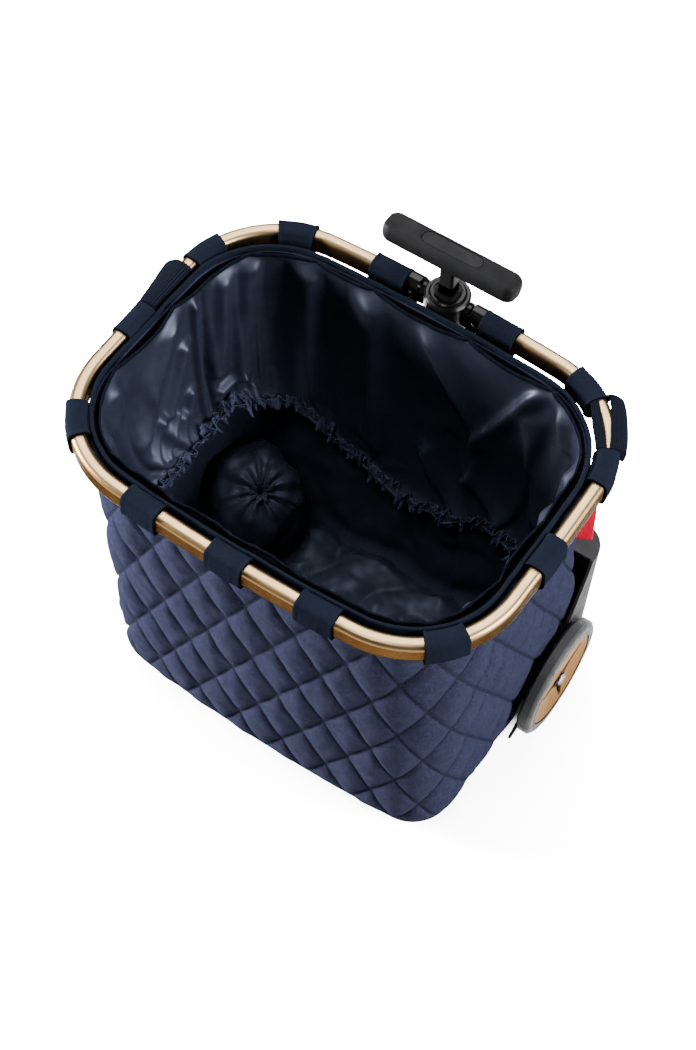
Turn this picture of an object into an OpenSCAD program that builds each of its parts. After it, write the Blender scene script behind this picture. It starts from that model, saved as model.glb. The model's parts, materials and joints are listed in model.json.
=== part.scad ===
// Shopping trolley on wheels: a soft quilted basket laced to an oval-section tube rim,
// on a two-wheeled rear chassis with a telescopic T-handle.
// Millimetres, +Z up, +Y towards the handle, origin on the floor under the middle of the whole.

/* [Rim frame] */
// Overall length of the tube rim
rim_l = 420; // [400:1:440]
// Overall width of the tube rim, front to back
rim_w = 332; // [320:1:344]
// Height of the middle of the rim tube
rim_z = 403; // [390:1:415]
// Thickness of the rim tube, seen from above
tube_t = 13; // [12:0.5:14]
// Height of the rim tube's section
tube_h = 22; // [20:0.5:24]
// Wall of the rim tube
tube_wall = 1.5; // [1:0.1:2]
// Radius of the rim's corners
corner_r = 95; // [85:1:105]
// Radius that the long sides bow to
long_bow_r = 1680; // [1400:20:2200]
// Radius that the short sides bow to
short_bow_r = 2900; // [2500:50:3500]

/* [Basket] */
// Half length of the basket's mouth, outside the fabric
mouth_a = 192.5; // [190:0.5:193]
// Half width of the basket's mouth, outside the fabric
mouth_b = 143.75; // [142:0.25:144]
// Half length of the basket's foot
foot_a = 185; // [180:1:186]
// Half width of the basket's foot
foot_b = 129; // [124:1:131]
// Height of the basket's mouth
mouth_z = 408; // [400:1:409]
// Thickness of the quilted wall
quilt_t = 4; // [3:0.5:5]
// Height of the collar's hem above the floor, at the front and the right
hem_z = 198; // [170:1:230]

/* [Wheels] */
// Radius of the wheels
wheel_r = 62.5; // [60:0.5:65]
// Width of the tyres
tyre_w = 16; // [14:1:18]
// Radius of the stub axles
axle_r = 5; // [4:0.5:6]

/* [Handle] */
// Side of the fixed square tube
stage_side = 20; // [19:0.5:20.5]
// Travel of each sliding stage
stage_travel = 270; // [200:5:280]
// Length of the T-bar
bar_l = 132; // [120:1:140]
// Depth of the T-bar, front to back
bar_w = 26; // [24:1:30]
// Height of the T-bar's top
bar_top = 473; // [468:1:480]
// Travel of the release button
button_travel = 2.5; // [2:0.1:3]

/* [Hidden] */
$fn = 64;

navy = [0.10, 0.12, 0.22];
satin = [0.07, 0.09, 0.16];
gold = [0.78, 0.58, 0.34];
black = [0.06, 0.06, 0.06];
grey = [0.42, 0.42, 0.43];
silver = [0.75, 0.75, 0.77];
red = [0.75, 0.06, 0.10];

// Everything is drawn about the middle of the rim, then moved so that the origin is mid-depth
housing_r = 20.5;
rim_a = rim_l / 2 - tube_t / 2;
rim_b = rim_w / 2 - tube_t / 2;
fit_gap = 0.2;    // between pieces that touch
slide_gap = 0.2;  // around each sliding stage
turn_gap = 0.05;  // around each axle
loop_t = 1.4;     // thickness of the fabric loops
front_y = -rim_w / 2 - fit_gap - loop_t;
rear_y = rim_b + housing_r;
depth_shift = -(front_y + rear_y) / 2;

// ---------- Outlines made of eight arcs ----------
// A shape is [half length, half width, long side radius, short side radius, corner radius]
function grown(s, d) = [for (v = s) v + d];
function mixed(p, q, t) = p * (1 - t) + q * t;
function far_meet(c1, r1, c2, r2) =
  let (
    d = c2 - c1,
    l = norm(d),
    u = d / l,
    x = (l * l + r1 * r1 - r2 * r2) / (2 * l),
    h = sqrt(max(0, r1 * r1 - x * x))
  )
  c1 + u * x + [-u[1], u[0]] * (u[0] > 0 ? h : -h);
// The arcs as [centre, radius, from angle, to angle], anticlockwise from the middle of the right side
function arcs_of(s) =
  let (
    cl = [0, s[1] - s[2]],
    cs = [s[0] - s[3], 0],
    p = far_meet(cl, s[2] - s[4], cs, s[3] - s[4]),
    q = [abs(p[0]), abs(p[1])],
    tl = atan2(q[1] - cl[1], q[0]),
    ts = atan2(q[1], q[0] - cs[0])
  )
  [
    [cs, s[3], -ts, ts],
    [q, s[4], ts, tl],
    [cl, s[2], tl, 180 - tl],
    [[-q[0], q[1]], s[4], 180 - tl, 180 - ts],
    [-cs, s[3], 180 - ts, 180 + ts],
    [-q, s[4], 180 + ts, 180 + tl],
    [-cl, s[2], 180 + tl, 360 - tl],
    [[q[0], -q[1]], s[4], 360 - tl, 360 - ts]
  ];
function arc_points(a, n) =
  [for (i = [0 : n - 1]) let (t = a[2] + (a[3] - a[2]) * i / n) a[0] + a[1] * [cos(t), sin(t)]];
side_steps = 5;
corner_steps = 12;
function outline(s) =
  let (arcs = arcs_of(s))
  [for (i = [0 : 7]) each arc_points(arcs[i], i % 2 == 0 ? side_steps : corner_steps)];
function ring3(s, y, z) = [for (p = outline(s)) [p[0], p[1] + y, z]];

// A solid skinned over rings of equal length. A closed one joins its last ring to its first
module skin(rings, closed = false) {
  n = len(rings[0]);
  m = len(rings);
  last = closed ? m - 1 : m - 2;
  sides = [
    for (i = [0 : last], j = [0 : n - 1])
      each [
        [i * n + j, ((i + 1) % m) * n + j, ((i + 1) % m) * n + (j + 1) % n],
        [i * n + j, ((i + 1) % m) * n + (j + 1) % n, i * n + (j + 1) % n]
      ]
  ];
  caps = closed ? [] : [[for (j = [0 : n - 1]) j], [for (j = [n - 1 : -1 : 0]) (m - 1) * n + j]];
  polyhedron(points = [for (r = rings) each r], faces = concat(sides, caps), convexity = 6);
}

rim_shape = [rim_a, rim_b, long_bow_r, short_bow_r, corner_r];
rim_arcs = arcs_of(rim_shape);
RIGHT = 0;
BACK_RIGHT = 1;
BACK = 2;
BACK_LEFT = 3;
LEFT = 4;
FRONT_LEFT = 5;
FRONT = 6;
FRONT_RIGHT = 7;

// Sweeps a profile along one arc of the rim: x is outward from the tube's middle, y is upward
module along_rim(arc, from, to) {
  a = rim_arcs[arc];
  translate([a[0][0], a[0][1], rim_z])
    rotate([0, 0, from])
      rotate_extrude(angle = to - from, $fn = arc % 2 == 0 ? 360 : 72)
        translate([a[1], 0])
          children();
}
function turn_of(arc, length) = length / rim_arcs[arc][1] * 180 / PI;

module rounded_box_2d(w, h, r) {
  square([w - 2 * r, h], center = true);
  square([w, h - 2 * r], center = true);
  for (x = [-1, 1], y = [-1, 1])
    translate([x * (w / 2 - r), y * (h / 2 - r)]) circle(r, $fn = 24);
}
module square_tube_2d(side, r, wall) {
  difference() {
    rounded_box_2d(side, side, r);
    rounded_box_2d(side - 2 * wall, side - 2 * wall, max(0.5, r - wall));
  }
}

// ---------- Rim: tube, end sleeves, handle housing ----------
tube_round = 5;
rim_gap_x = 26;   // the tube stops this far each side of the handle
sleeve_in = 19.5; // where the sleeve starts, inside the housing's round wall
sleeve_out = 38;
sleeve_t = 2;
housing_low = 376;
housing_top = 417;
bezel_r = 16.5;
function back_turn(x) = acos(x / long_bow_r);

module tube_profile(d = 0) {
  difference() {
    rounded_box_2d(tube_t - 2 * d, tube_h - 2 * d, tube_round - d);
    rounded_box_2d(tube_t - 2 * (tube_wall + d), tube_h - 2 * (tube_wall + d), tube_round - tube_wall - d);
  }
}
// The sides run a little way into the corner bends, as the bends are swaged out by a hair
swage = 0.06;
lap = 2;
module rim_tube() {
  color(gold) {
    for (arc = [BACK_RIGHT, BACK_LEFT, FRONT_LEFT, FRONT_RIGHT])
      along_rim(arc, rim_arcs[arc][2], rim_arcs[arc][3]) tube_profile();
    for (arc = [RIGHT, LEFT, FRONT])
      along_rim(arc, rim_arcs[arc][2] - turn_of(arc, lap), rim_arcs[arc][3] + turn_of(arc, lap)) tube_profile(swage);
    along_rim(BACK, rim_arcs[BACK][2] - turn_of(BACK, lap), back_turn(rim_gap_x)) tube_profile(swage);
    along_rim(BACK, back_turn(-rim_gap_x), rim_arcs[BACK][3] + turn_of(BACK, lap)) tube_profile(swage);
  }
}

// A collar over the tube's end that necks down to a plug in the housing's side
module sleeve_body() {
  neck_x = 24;
  difference() {
    intersection() {
      translate([0, rim_b, rim_z])
        rotate([90, 0, 90])
          linear_extrude(sleeve_out) rounded_box_2d(tube_t + 2 * sleeve_t, tube_h + 2 * sleeve_t, 6.5);
      translate([0, rim_b, rim_z])
        rotate([0, 90, 0])
          rotate_extrude()
            polygon([[0, 0], [11, 0], [11, neck_x], [13.4, neck_x + 3], [14.2, 32], [14.2, sleeve_out], [0, sleeve_out]]);
    }
    translate([0, rim_b, rim_z]) cube([2 * sleeve_in, 60, 60], center = true);
    translate([0, rim_b, rim_z - 60]) cylinder(r = housing_r + fit_gap, h = 120);
    along_rim(BACK, 80, back_turn(rim_gap_x - 0.5))
      rounded_box_2d(tube_t + 2 * fit_gap, tube_h + 2 * fit_gap, tube_round + fit_gap);
  }
}
module sleeve_right() { color(black) rivet_drilled() sleeve_body(); }
module sleeve_left() { color(black) mirror([1, 0, 0]) rivet_drilled() sleeve_body(); }

rivet_x = 32;
rivet_r = 2;
module rivet_drilled() {
  difference() {
    children();
    translate([rivet_x, rim_b - tube_t / 2 - 0.4, rim_z])
      rotate([90, 0, 0]) cylinder(r = rivet_r + turn_gap, h = 10);
  }
}
module sleeve_rivets() {
  color(silver)
    for (x = [-rivet_x, rivet_x])
      translate([x, rim_b - tube_t / 2 - 0.5, rim_z])
        rotate([90, 0, 0]) {
          cylinder(r = rivet_r, h = sleeve_t + 0.4);
          translate([0, 0, sleeve_t + 0.4]) cylinder(r1 = 3.4, r2 = 2.2, h = 1.2);
        }
}

module handle_housing() {
  seat_r = bezel_r + fit_gap;
  color(black)
    difference() {
      union() {
        translate([0, rim_b, 0])
          rotate_extrude()
            polygon([[0, housing_low], [housing_r - 3, housing_low], [housing_r, housing_low + 4],
                     [housing_r, housing_top - 1.5], [housing_r - 1.5, housing_top], [0, housing_top]]);
      }
      translate([0, rim_b, housing_low - 1])
        linear_extrude(40) rounded_box_2d(stage_side + 2 * fit_gap, stage_side + 2 * fit_gap, 4 + fit_gap);
      translate([0, rim_b, housing_top - 5]) cylinder(r = seat_r, h = 10);
    }
}
// The stepped ring around the slides, screwed into the housing's top
module housing_bezel() {
  color(black)
    translate([0, rim_b, 0])
      difference() {
        rotate_extrude()
          polygon([[0, housing_top - 4.8], [bezel_r, housing_top - 4.8], [bezel_r, housing_top + 1.2],
                   [bezel_r - 1.5, housing_top + 2], [bezel_r - 3.5, housing_top + 2],
                   [bezel_r - 3.5, housing_top + 0.5], [0, housing_top + 0.5]]);
        translate([0, 0, housing_top - 10])
          linear_extrude(20) rounded_box_2d(middle_side + 2 * slide_gap, middle_side + 2 * slide_gap, 3.2 + slide_gap);
      }
}

// ---------- Fabric loops that lace the basket to the rim ----------
loop_l = 34;
long_loop_x = 84;  // spacing of the loops along the front
back_loop_x = 55.5;
// [arc, angle of the loop's middle]
loops = [
  [FRONT_LEFT, 221.5],
  [FRONT, 270 - turn_of(FRONT, long_loop_x)],
  [FRONT, 270],
  [FRONT, 270 + turn_of(FRONT, long_loop_x)],
  [FRONT_RIGHT, 318.5],
  [RIGHT, -turn_of(RIGHT, 15)],
  [BACK_RIGHT, 12],
  [BACK_RIGHT, 66],
  [BACK, 90 - turn_of(BACK, back_loop_x)],
  [BACK, 90 + turn_of(BACK, back_loop_x)],
  [BACK_LEFT, 114],
  [BACK_LEFT, 168],
  [LEFT, 180 + turn_of(LEFT, 15)]
];
// The loop's band runs round the tube, with a tongue towards the basket
module loop_profile() {
  in = tube_t / 2 + fit_gap;
  difference() {
    union() {
      rounded_box_2d(2 * (in + loop_t), tube_h + 2 * (fit_gap + loop_t), tube_round + loop_t);
      translate([-in - loop_t - 1.6, -7]) square([3, 12]);
    }
    rounded_box_2d(2 * in, tube_h + 2 * fit_gap, tube_round + fit_gap);
  }
}
module frame_loop(i) {
  arc = loops[i][0];
  half = turn_of(arc, loop_l / 2);
  color(navy) along_rim(arc, loops[i][1] - half, loops[i][1] + half) loop_profile();
}

// ---------- Carry straps, one in a gap between loops at each end ----------
strap_t = 1.8;
strap_low = tube_h / 2 + 0.4;
strap_in = 1.2;     // inner edge of the right strap's outer run, from the tube's middle
strap_out = 17;     // and its outer edge
strap_drop = 3;     // how much lower that outer edge lies
strap_from = 24.5;
strap_to = 53.5;
strap_end = 2.4;
strap_reach = rim_arcs[BACK_RIGHT][0][0] + (corner_r + strap_out) * cos(strap_from);
module carry_strap_right() {
  color(navy)
    difference() {
      along_rim(BACK_RIGHT, strap_from, strap_to)
        polygon([[-13, strap_low], [strap_in, strap_low], [strap_out, strap_low - strap_drop],
                 [strap_out, strap_low - strap_drop + strap_t], [strap_in, strap_low + strap_t],
                 [-13, strap_low + strap_t]]);
      along_rim(BACK_RIGHT, strap_from + strap_end, strap_to - strap_end)
        translate([-2, strap_low - 2]) square([strap_in + 1.7, strap_t + 4]);
    }
}
// The left strap lies flat over the tube, and fans out towards its rear end
module carry_strap_left() {
  front = 5;
  rear = 55;
  narrow = rim_a + 4.5;
  lip = 9;
  slant = atan2(strap_reach - narrow, rear - front);
  color(navy)
    translate([0, 0, rim_z + strap_low]) {
      linear_extrude(strap_t)
        polygon([[-rim_a + 9, front], [-narrow, front], [-strap_reach, rear], [-rim_a + 9, rear]]);
      difference() {
        translate([-narrow, front, 0])
          rotate([0, 0, slant]) translate([0, 0, -lip]) cube([strap_t, 80, lip + strap_t / 2]);
        translate([0, 0, -rim_z - strap_low])
          along_rim(LEFT, rim_arcs[LEFT][2], rim_arcs[LEFT][3])
            rounded_box_2d(tube_t + 2 * fit_gap, tube_h + 2 * fit_gap, tube_round + fit_gap);
        translate([-300, rear, -50]) cube([300, 100, 100]);
        translate([-300, front - 50, -50]) cube([300, 50, 100]);
      }
    }
}

// ---------- Basket ----------
mouth_y = mouth_b - rim_w / 2 + tube_t + 4;
foot_y = 5;
foot_z = 13;
mouth_shape = [mouth_a, mouth_b, long_bow_r - 16, short_bow_r - 16, corner_r - 11];
foot_shape = [foot_a, foot_b, long_bow_r, short_bow_r, 42];
bag_in = quilt_t + 0.4;      // outside of the lining, from the outside of the fabric
lining_t = 1.2;
board_t = 3;
// One level of the basket's wall, t from 0 at the foot to 1 at the mouth
function bag_ring(t, d, z) =
  ring3(grown(mixed(foot_shape, mouth_shape, t), d), mixed(foot_y, mouth_y, t), z);
function height_of(t) = foot_z + (mouth_z - foot_z) * t;
levels = [0.07, 0.3, 0.55, 0.8, 1];
function wall_up(d) = [for (t = levels) bag_ring(t, d, height_of(t))];
function wall_down(d) = [for (i = [len(levels) - 1 : -1 : 0]) bag_ring(levels[i], d, height_of(levels[i]))];

module bag_shell() {
  floor_z = foot_z + quilt_t;
  color(navy)
    skin(concat(
      [bag_ring(0, -12, foot_z), bag_ring(0.01, -5, foot_z + 2.5), bag_ring(0.03, -1.2, foot_z + 9)],
      wall_up(0), wall_down(-quilt_t),
      [bag_ring(0.01, -quilt_t - 4, floor_z)]
    ));
}
module rim_binding() {
  color(navy)
    skin([
      bag_ring(1, 0.4, mouth_z + fit_gap), bag_ring(1, 0.4, mouth_z + 4.5),
      bag_ring(1, -quilt_t - 0.4, mouth_z + 4.5), bag_ring(1, -quilt_t - 0.4, mouth_z + fit_gap)
    ], closed = true);
}
module lining() {
  d = -bag_in;
  low = foot_z + quilt_t + board_t + 0.8;
  top = mouth_z - 24;
  t1 = (top - foot_z) / (mouth_z - foot_z);
  color(satin)
    skin([
      bag_ring(0.02, d - 4, low), bag_ring(0.07, d, height_of(0.07)), bag_ring(t1, d, top),
      bag_ring(t1, d - lining_t, top), bag_ring(0.07, d - lining_t, height_of(0.07)),
      bag_ring(0.02, d - 4 - lining_t, low + lining_t)
    ]);
}
module base_board() {
  low = foot_z + quilt_t + 0.3;
  color(black) skin([bag_ring(0.01, -quilt_t - 5, low), bag_ring(0.01, -quilt_t - 5, low + board_t)]);
}
// The woven hook tape inside the mouth, which holds the collar
tape_in = quilt_t + 0.2;
tape_t = 1.6;
module hook_tape() {
  low = mouth_z - 21;
  t = (low - foot_z) / (mouth_z - foot_z);
  color(black)
    skin([
      bag_ring(t, -tape_in, low), bag_ring(1, -tape_in, mouth_z - 1),
      bag_ring(1, -tape_in - tape_t, mouth_z - 1), bag_ring(t, -tape_in - tape_t, low)
    ], closed = true);
}
// The satin collar hangs inside from the tape, and draws in to an elastic hem
collar_t = 1.4;
collar_in = tape_in + tape_t + 0.3;
hem_shape = [158, 108, 1500, 2500, 62];
hem_y = 2;
hem_h = 8.6;
// The hem rides up at the left end and dips at the middle of the back
function hem_rise(p) =
  48 / (1 + exp((p[0] + 125) / 15)) - 45 * exp(-pow((p[0] - 5) / 75, 2)) / (1 + exp((40 - p[1]) / 15));
function hung(ring, share) = [for (p = ring) [p[0], p[1], p[2] + share * hem_rise(p)]];
module closure_collar() {
  function collar_ring(t, d, z) =
    hung(ring3(grown(mixed(hem_shape, grown(mouth_shape, -collar_in), t), d), mixed(hem_y, mouth_y, t), z), 1 - t);
  steps = [[0, hem_z + hem_h + 0.6], [0.35, hem_z + 35], [0.75, hem_z + 110], [1, mouth_z + 4]];
  color(satin)
    skin(concat(
      [for (s = steps) collar_ring(s[0], 0, s[1])],
      [for (i = [3 : -1 : 0]) collar_ring(steps[i][0], -collar_t, steps[i][1])]
    ), closed = true);
}
module collar_hem() {
  function hem_ring(d, z) = hung(ring3(grown(hem_shape, d), hem_y, z), 1);
  color(satin)
    skin([hem_ring(3, hem_z), hem_ring(3, hem_z + hem_h), hem_ring(-4, hem_z + hem_h), hem_ring(-4, hem_z)], closed = true);
}
// A gathered pocket on the left wall, near the back
pocket_x = -134;
pocket_y = 58;
pocket_r = 44;
pocket_top = 132;
module side_pocket() {
  low = 46;
  wall = 1.6;
  function bowl(r, z) =
    [for (i = [0 : 35]) [pocket_x + r * cos(i * 10), pocket_y + r * 0.92 * sin(i * 10), z]];
  color(satin)
    skin([
      bowl(pocket_r - 14, low), bowl(pocket_r, low + 26), bowl(pocket_r, pocket_top - 26),
      bowl(pocket_r - 9, pocket_top), bowl(pocket_r - 9 - wall, pocket_top),
      bowl(pocket_r - wall, pocket_top - 26), bowl(pocket_r - wall, low + 26),
      bowl(pocket_r - 14 - wall, low + wall)
    ]);
}
// A folded fabric tab sewn to the basket's right side, below the rim
module side_tab() {
  tab_y = 82;
  low = 290;
  high = 350;
  color(red)
    difference() {
      translate([mouth_a - 12, tab_y, 0])
        rotate([90, 0, 20]) linear_extrude(1.2) polygon([[0, low], [28, low + 2], [24, high], [0, high]]);
      skin([for (t = [0.6, 1]) bag_ring(t, fit_gap, height_of(t))]);
    }
}

// ---------- Chassis ----------
cheek_in = 189.2;
cheek_t = 3;
cheek_out = cheek_in + cheek_t;
shell_low = 9.5;
shell_top = 188;
shell_rear = rim_b + 9.5;
channel_r = 17;
wheel_y = 80;
tray_z = shell_low;
tray_t = 3;
axle_flange_r = 12;
axle_flange_t = 1.2;

// Seen from the right: upright at the back, with the front edge of the cheek on a sweeping arc
module cheek_profile() {
  arc_r = 290;
  low = [22, shell_low];
  high = [136, shell_top];
  mid = (low + high) / 2;
  chord = high - low;
  back = sqrt(arc_r * arc_r - norm(chord) * norm(chord) / 4);
  centre = mid + [-chord[1], chord[0]] / norm(chord) * back;
  difference() {
    translate([low[0], shell_low]) square([250, shell_top - shell_low]);
    translate(centre) circle(arc_r, $fn = 180);
  }
}
module shell_plan(d) {
  r = 26 - d;
  translate([0, shell_rear / 2 - d]) rounded_box_2d(2 * (cheek_out - d), shell_rear, r);
}
module chassis_shell() {
  color(grey)
    difference() {
      intersection() {
        translate([0, 0, shell_low])
          linear_extrude(shell_top - shell_low)
            union() {
              shell_plan(0);
              translate([0, rim_b]) circle(channel_r);
            }
        translate([-250, 0, 0]) rotate([90, 0, 90]) linear_extrude(500) cheek_profile();
      }
      // the hollow in front of the rear wall, under the top wall
      translate([0, 0, shell_low - 1])
        linear_extrude(shell_top - shell_low - 2) {
          shell_plan(cheek_t);
          translate([0, rim_b]) circle(channel_r - 2.6);
        }
      // the basket's place, right up through the top wall
      translate([-cheek_in, -50, 0]) cube([2 * cheek_in, 50 + shell_rear - 32, 300]);
      // the tray's slot, the tube's hole and the axle seats
      translate([0, rim_b, 0])
        linear_extrude(300) rounded_box_2d(stage_side + 2 * fit_gap, stage_side + 2 * fit_gap, 4 + fit_gap);
      for (s = [-1, 1])
        translate([0, wheel_y, wheel_r]) rotate([0, s * 90, 0]) {
          cylinder(r = axle_r + turn_gap, h = 250);
          cylinder(r = axle_flange_r + turn_gap, h = cheek_in + axle_flange_t + turn_gap);
        }
    }
}
module back_plate() {
  color(black)
    difference() {
      translate([-cheek_in + 1, shell_rear - 31, tray_z + tray_t + 0.5]) cube([2 * cheek_in - 2, 3, shell_top - tray_z - tray_t - 5]);
      for (x = screw_xs) translate([x, 0, plate_screw_z]) rotate([-90, 0, 0]) cylinder(r = screw_r + turn_gap, h = 250);
    }
}
module base_tray() {
  tray_front = -104;
  tray_rear = shell_rear - cheek_t - 0.4;
  color(black)
    difference() {
      translate([0, (tray_front + tray_rear) / 2, tray_z])
        linear_extrude(tray_t) rounded_box_2d(330, tray_rear - tray_front, 26);
      for (x = tray_screw_xs)
        translate([x, tray_screw_y, 0]) cylinder(r = screw_r + turn_gap, h = 50);
      for (s = [-1, 1]) translate([s * foot_x, foot_pos_y, 0]) cylinder(r = foot_stud_r + turn_gap, h = 50);
    }
}
screw_r = 2;
screw_xs = [-140, -60, 60, 140];
plate_screw_z = 150;
tray_screw_xs = [-30, 30];
tray_screw_y = 147;
// Screws through the plate, and two up through the tray into the tube's foot
module chassis_screws() {
  color(silver) {
    for (x = screw_xs)
      translate([x, shell_rear - 28 + 1.6, plate_screw_z]) rotate([90, 0, 0]) {
        cylinder(r = screw_r, h = 4.6);
        cylinder(r = 3.6, h = 1.55);
      }
    for (x = tray_screw_xs)
      translate([x, tray_screw_y, tray_z - 1.6]) {
        cylinder(r = screw_r, h = tray_t + 10);
        cylinder(r = 3.6, h = 1.55);
      }
  }
}
// The block at the foot of the fixed tube
module tube_foot() {
  w = 78;
  low = tray_z + tray_t + 0.2;
  color(black)
    difference() {
      translate([-w / 2, rim_b - 18, low]) cube([w, 24, 30]);
      translate([0, rim_b, low + 6])
        linear_extrude(40) rounded_box_2d(stage_side + 2 * fit_gap, stage_side + 2 * fit_gap, 4 + fit_gap);
      for (x = tray_screw_xs) translate([x, tray_screw_y, 0]) cylinder(r = screw_r + turn_gap, h = 25);
    }
}

// ---------- Feet ----------
foot_x = 145;
foot_pos_y = -88;
foot_stud_r = 3;
module foot(s) {
  color(black)
    translate([s * foot_x, foot_pos_y, 0]) {
      cylinder(r1 = 12, r2 = 15, h = tray_z - fit_gap);
      cylinder(r = foot_stud_r, h = tray_z + tray_t);
    }
}

// ---------- Wheels ----------
wheel_in = cheek_out + 2;
wheel_out = wheel_in + tyre_w;
hub_r = 52;
bush_r = 8;
cap_r = 7;
module wheel_frame(s) {
  translate([s * wheel_in, wheel_y, wheel_r]) rotate([0, s * 90, 0]) children();
}
module stub_axle(s) {
  color(silver)
    translate([0, wheel_y, wheel_r]) rotate([0, s * 90, 0]) {
      translate([0, 0, cheek_in]) cylinder(r = axle_flange_r, h = axle_flange_t);
      translate([0, 0, cheek_in]) cylinder(r = axle_r, h = wheel_out - 3 - cheek_in);
      // the shoulder that keeps the wheel off the cheek
      translate([0, 0, cheek_out + turn_gap]) cylinder(r = 7, h = 1.4);
    }
}
module axle_cap(s) {
  color(silver)
    wheel_frame(s)
      translate([0, 0, tyre_w - 3 + fit_gap])
        rotate_extrude() polygon([[0, 0], [cap_r, 0], [cap_r, 1.6], [cap_r - 1.6, 3], [0, 3]]);
}
module wheel_bush(s) {
  color(black)
    wheel_frame(s)
      difference() {
        cylinder(r = bush_r, h = tyre_w - 3.4);
        translate([0, 0, -1]) cylinder(r = axle_r + turn_gap, h = 40);
      }
}
module hub(s) {
  color(black)
    wheel_frame(s)
      rotate_extrude()
        polygon([[bush_r + turn_gap, 0.4], [bush_r + 5, 0.4], [bush_r + 5, 4], [hub_r - 6, 4], [hub_r - 6, 0.6],
                 [hub_r, 0.6], [hub_r, tyre_w - 0.6], [hub_r - 2.4, tyre_w - 0.6], [hub_r - 2.4, 7.4],
                 [bush_r + 5, 7.4], [bush_r + 5, tyre_w - 6.6], [bush_r + turn_gap, tyre_w - 6.6]]);
}
// The dished outer disc, with three tapered slots that run out from a middle hole
disc_hole_r = 11;
module slot_2d(length, w_in, w_out) {
  polygon([[0, -w_in / 2], [length - w_out / 2, -w_out / 2], [length - w_out / 2, w_out / 2], [0, w_in / 2]]);
  translate([length - w_out / 2, 0]) circle(w_out / 2);
}
module hub_disc(s) {
  r = hub_r - 2.4 - fit_gap;
  face = tyre_w - 1.2;
  color(gold)
    wheel_frame(s)
      difference() {
        rotate_extrude()
          polygon([[0, face - 5.2], [16, face - 5.2], [r - 3, face - 3.4], [r, face - 3.4], [r, face - 0.8],
                   [r - 1.2, face], [r - 4, face], [16, face - 2.2], [0, face - 2.2]]);
        cylinder(r = disc_hole_r, h = 40);
        for (i = [0 : 2]) rotate([0, 0, 8 + 120 * i]) linear_extrude(40) slot_2d(41, 13, 5);
      }
}
module tyre(s) {
  r = hub_r + 0.1;
  color(grey)
    wheel_frame(s)
      rotate_extrude($fn = 96)
        union() {
          translate([r, 0.8]) square([wheel_r - r - 4, tyre_w - 1.6]);
          translate([r + 1, 4]) square([wheel_r - r - 1, tyre_w - 8]);
          translate([wheel_r - 5, 4.8]) circle(4);
          translate([wheel_r - 5, tyre_w - 4.8]) circle(4);
          translate([wheel_r - 9, 0.8]) square([4, tyre_w - 1.6]);
        }
}

// ---------- Telescopic slides ----------
wall_s = 1.3;
middle_side = stage_side - 2 * wall_s - 2 * slide_gap;
inner_side = middle_side - 2 * wall_s - 2 * slide_gap;
outer_low = tray_z + tray_t + 6.4;
outer_top = 398;
bush_low = outer_top + 0.2;
bush_high = housing_top - 5;
middle_low = 90;
middle_top = housing_top + 1;
inner_low = 96;
inner_top = 432;

module slide_at(low, high) { translate([0, rim_b, low]) linear_extrude(high - low) children(); }
module outer_tube() {
  color(black) slide_at(outer_low, outer_top) square_tube_2d(stage_side, 4, wall_s);
}
module outer_bush() {
  color(black)
    slide_at(bush_low, bush_high)
      difference() {
        rounded_box_2d(stage_side, stage_side, 4);
        rounded_box_2d(middle_side + 2 * slide_gap, middle_side + 2 * slide_gap, 3.2 + slide_gap);
      }
}
module middle_tube() {
  color(black) slide_at(middle_low, middle_top) square_tube_2d(middle_side, 3.2, wall_s);
}
// Sits on the middle tube's end, round the inner one
module middle_bush() {
  color(black)
    slide_at(middle_top, middle_top + 4)
      difference() {
        rounded_box_2d(middle_side + 3, middle_side + 3, 4.6);
        rounded_box_2d(inner_side + 2 * slide_gap, inner_side + 2 * slide_gap, 2.4 + slide_gap);
      }
}
module inner_tube() {
  color(black) slide_at(inner_low, inner_top) square_tube_2d(inner_side, 2.4, wall_s);
}

// ---------- T-handle ----------
bar_low = bar_top - 19;
bar_split = bar_low + 9.5;
neck_bore = 2.8;
rod_r = 2;
pad_l = 58;
pad_w = 13;
module handle_neck() {
  plug = inner_side - 2 * wall_s - 2 * turn_gap;
  color(black)
    difference() {
      union() {
        slide_at(inner_top - 22, inner_top + 0.1) rounded_box_2d(plug, plug, 1.2);
        slide_at(inner_top + 0.1, bar_low - 0.1) rounded_box_2d(inner_side, inner_side, 2.4);
      }
      translate([0, rim_b, 0]) cylinder(r = neck_bore, h = 500);
    }
}
// The bar's plan, section across and side view, crossed to give its body
module bar_body() {
  end_r = 11;
  translate([0, rim_b, 0])
    intersection() {
      translate([0, 0, bar_low]) linear_extrude(19) rounded_box_2d(bar_l, bar_w, end_r);
      translate([-100, 0, bar_low])
        rotate([90, 0, 90])
          linear_extrude(200)
            polygon([[-bar_w / 2 + 5, 0], [bar_w / 2 - 5, 0], [bar_w / 2, 5.5], [bar_w / 2, 10],
                     [bar_w / 2 - 5.5, 18], [bar_w / 2 - 8, 19], [-bar_w / 2 + 8, 19],
                     [-bar_w / 2 + 5.5, 18], [-bar_w / 2, 10], [-bar_w / 2, 5.5]]);
    }
}
module grip_lower() {
  color(black)
    difference() {
      intersection() {
        bar_body();
        translate([-100, 0, 0]) cube([200, 300, bar_split]);
      }
      translate([0, rim_b, 0]) cylinder(r = neck_bore, h = 500);
      translate([-(pad_l + 8) / 2, rim_b - (pad_w + 2) / 2, bar_low + 4]) cube([pad_l + 8, pad_w + 2, 20]);
    }
}
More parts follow.
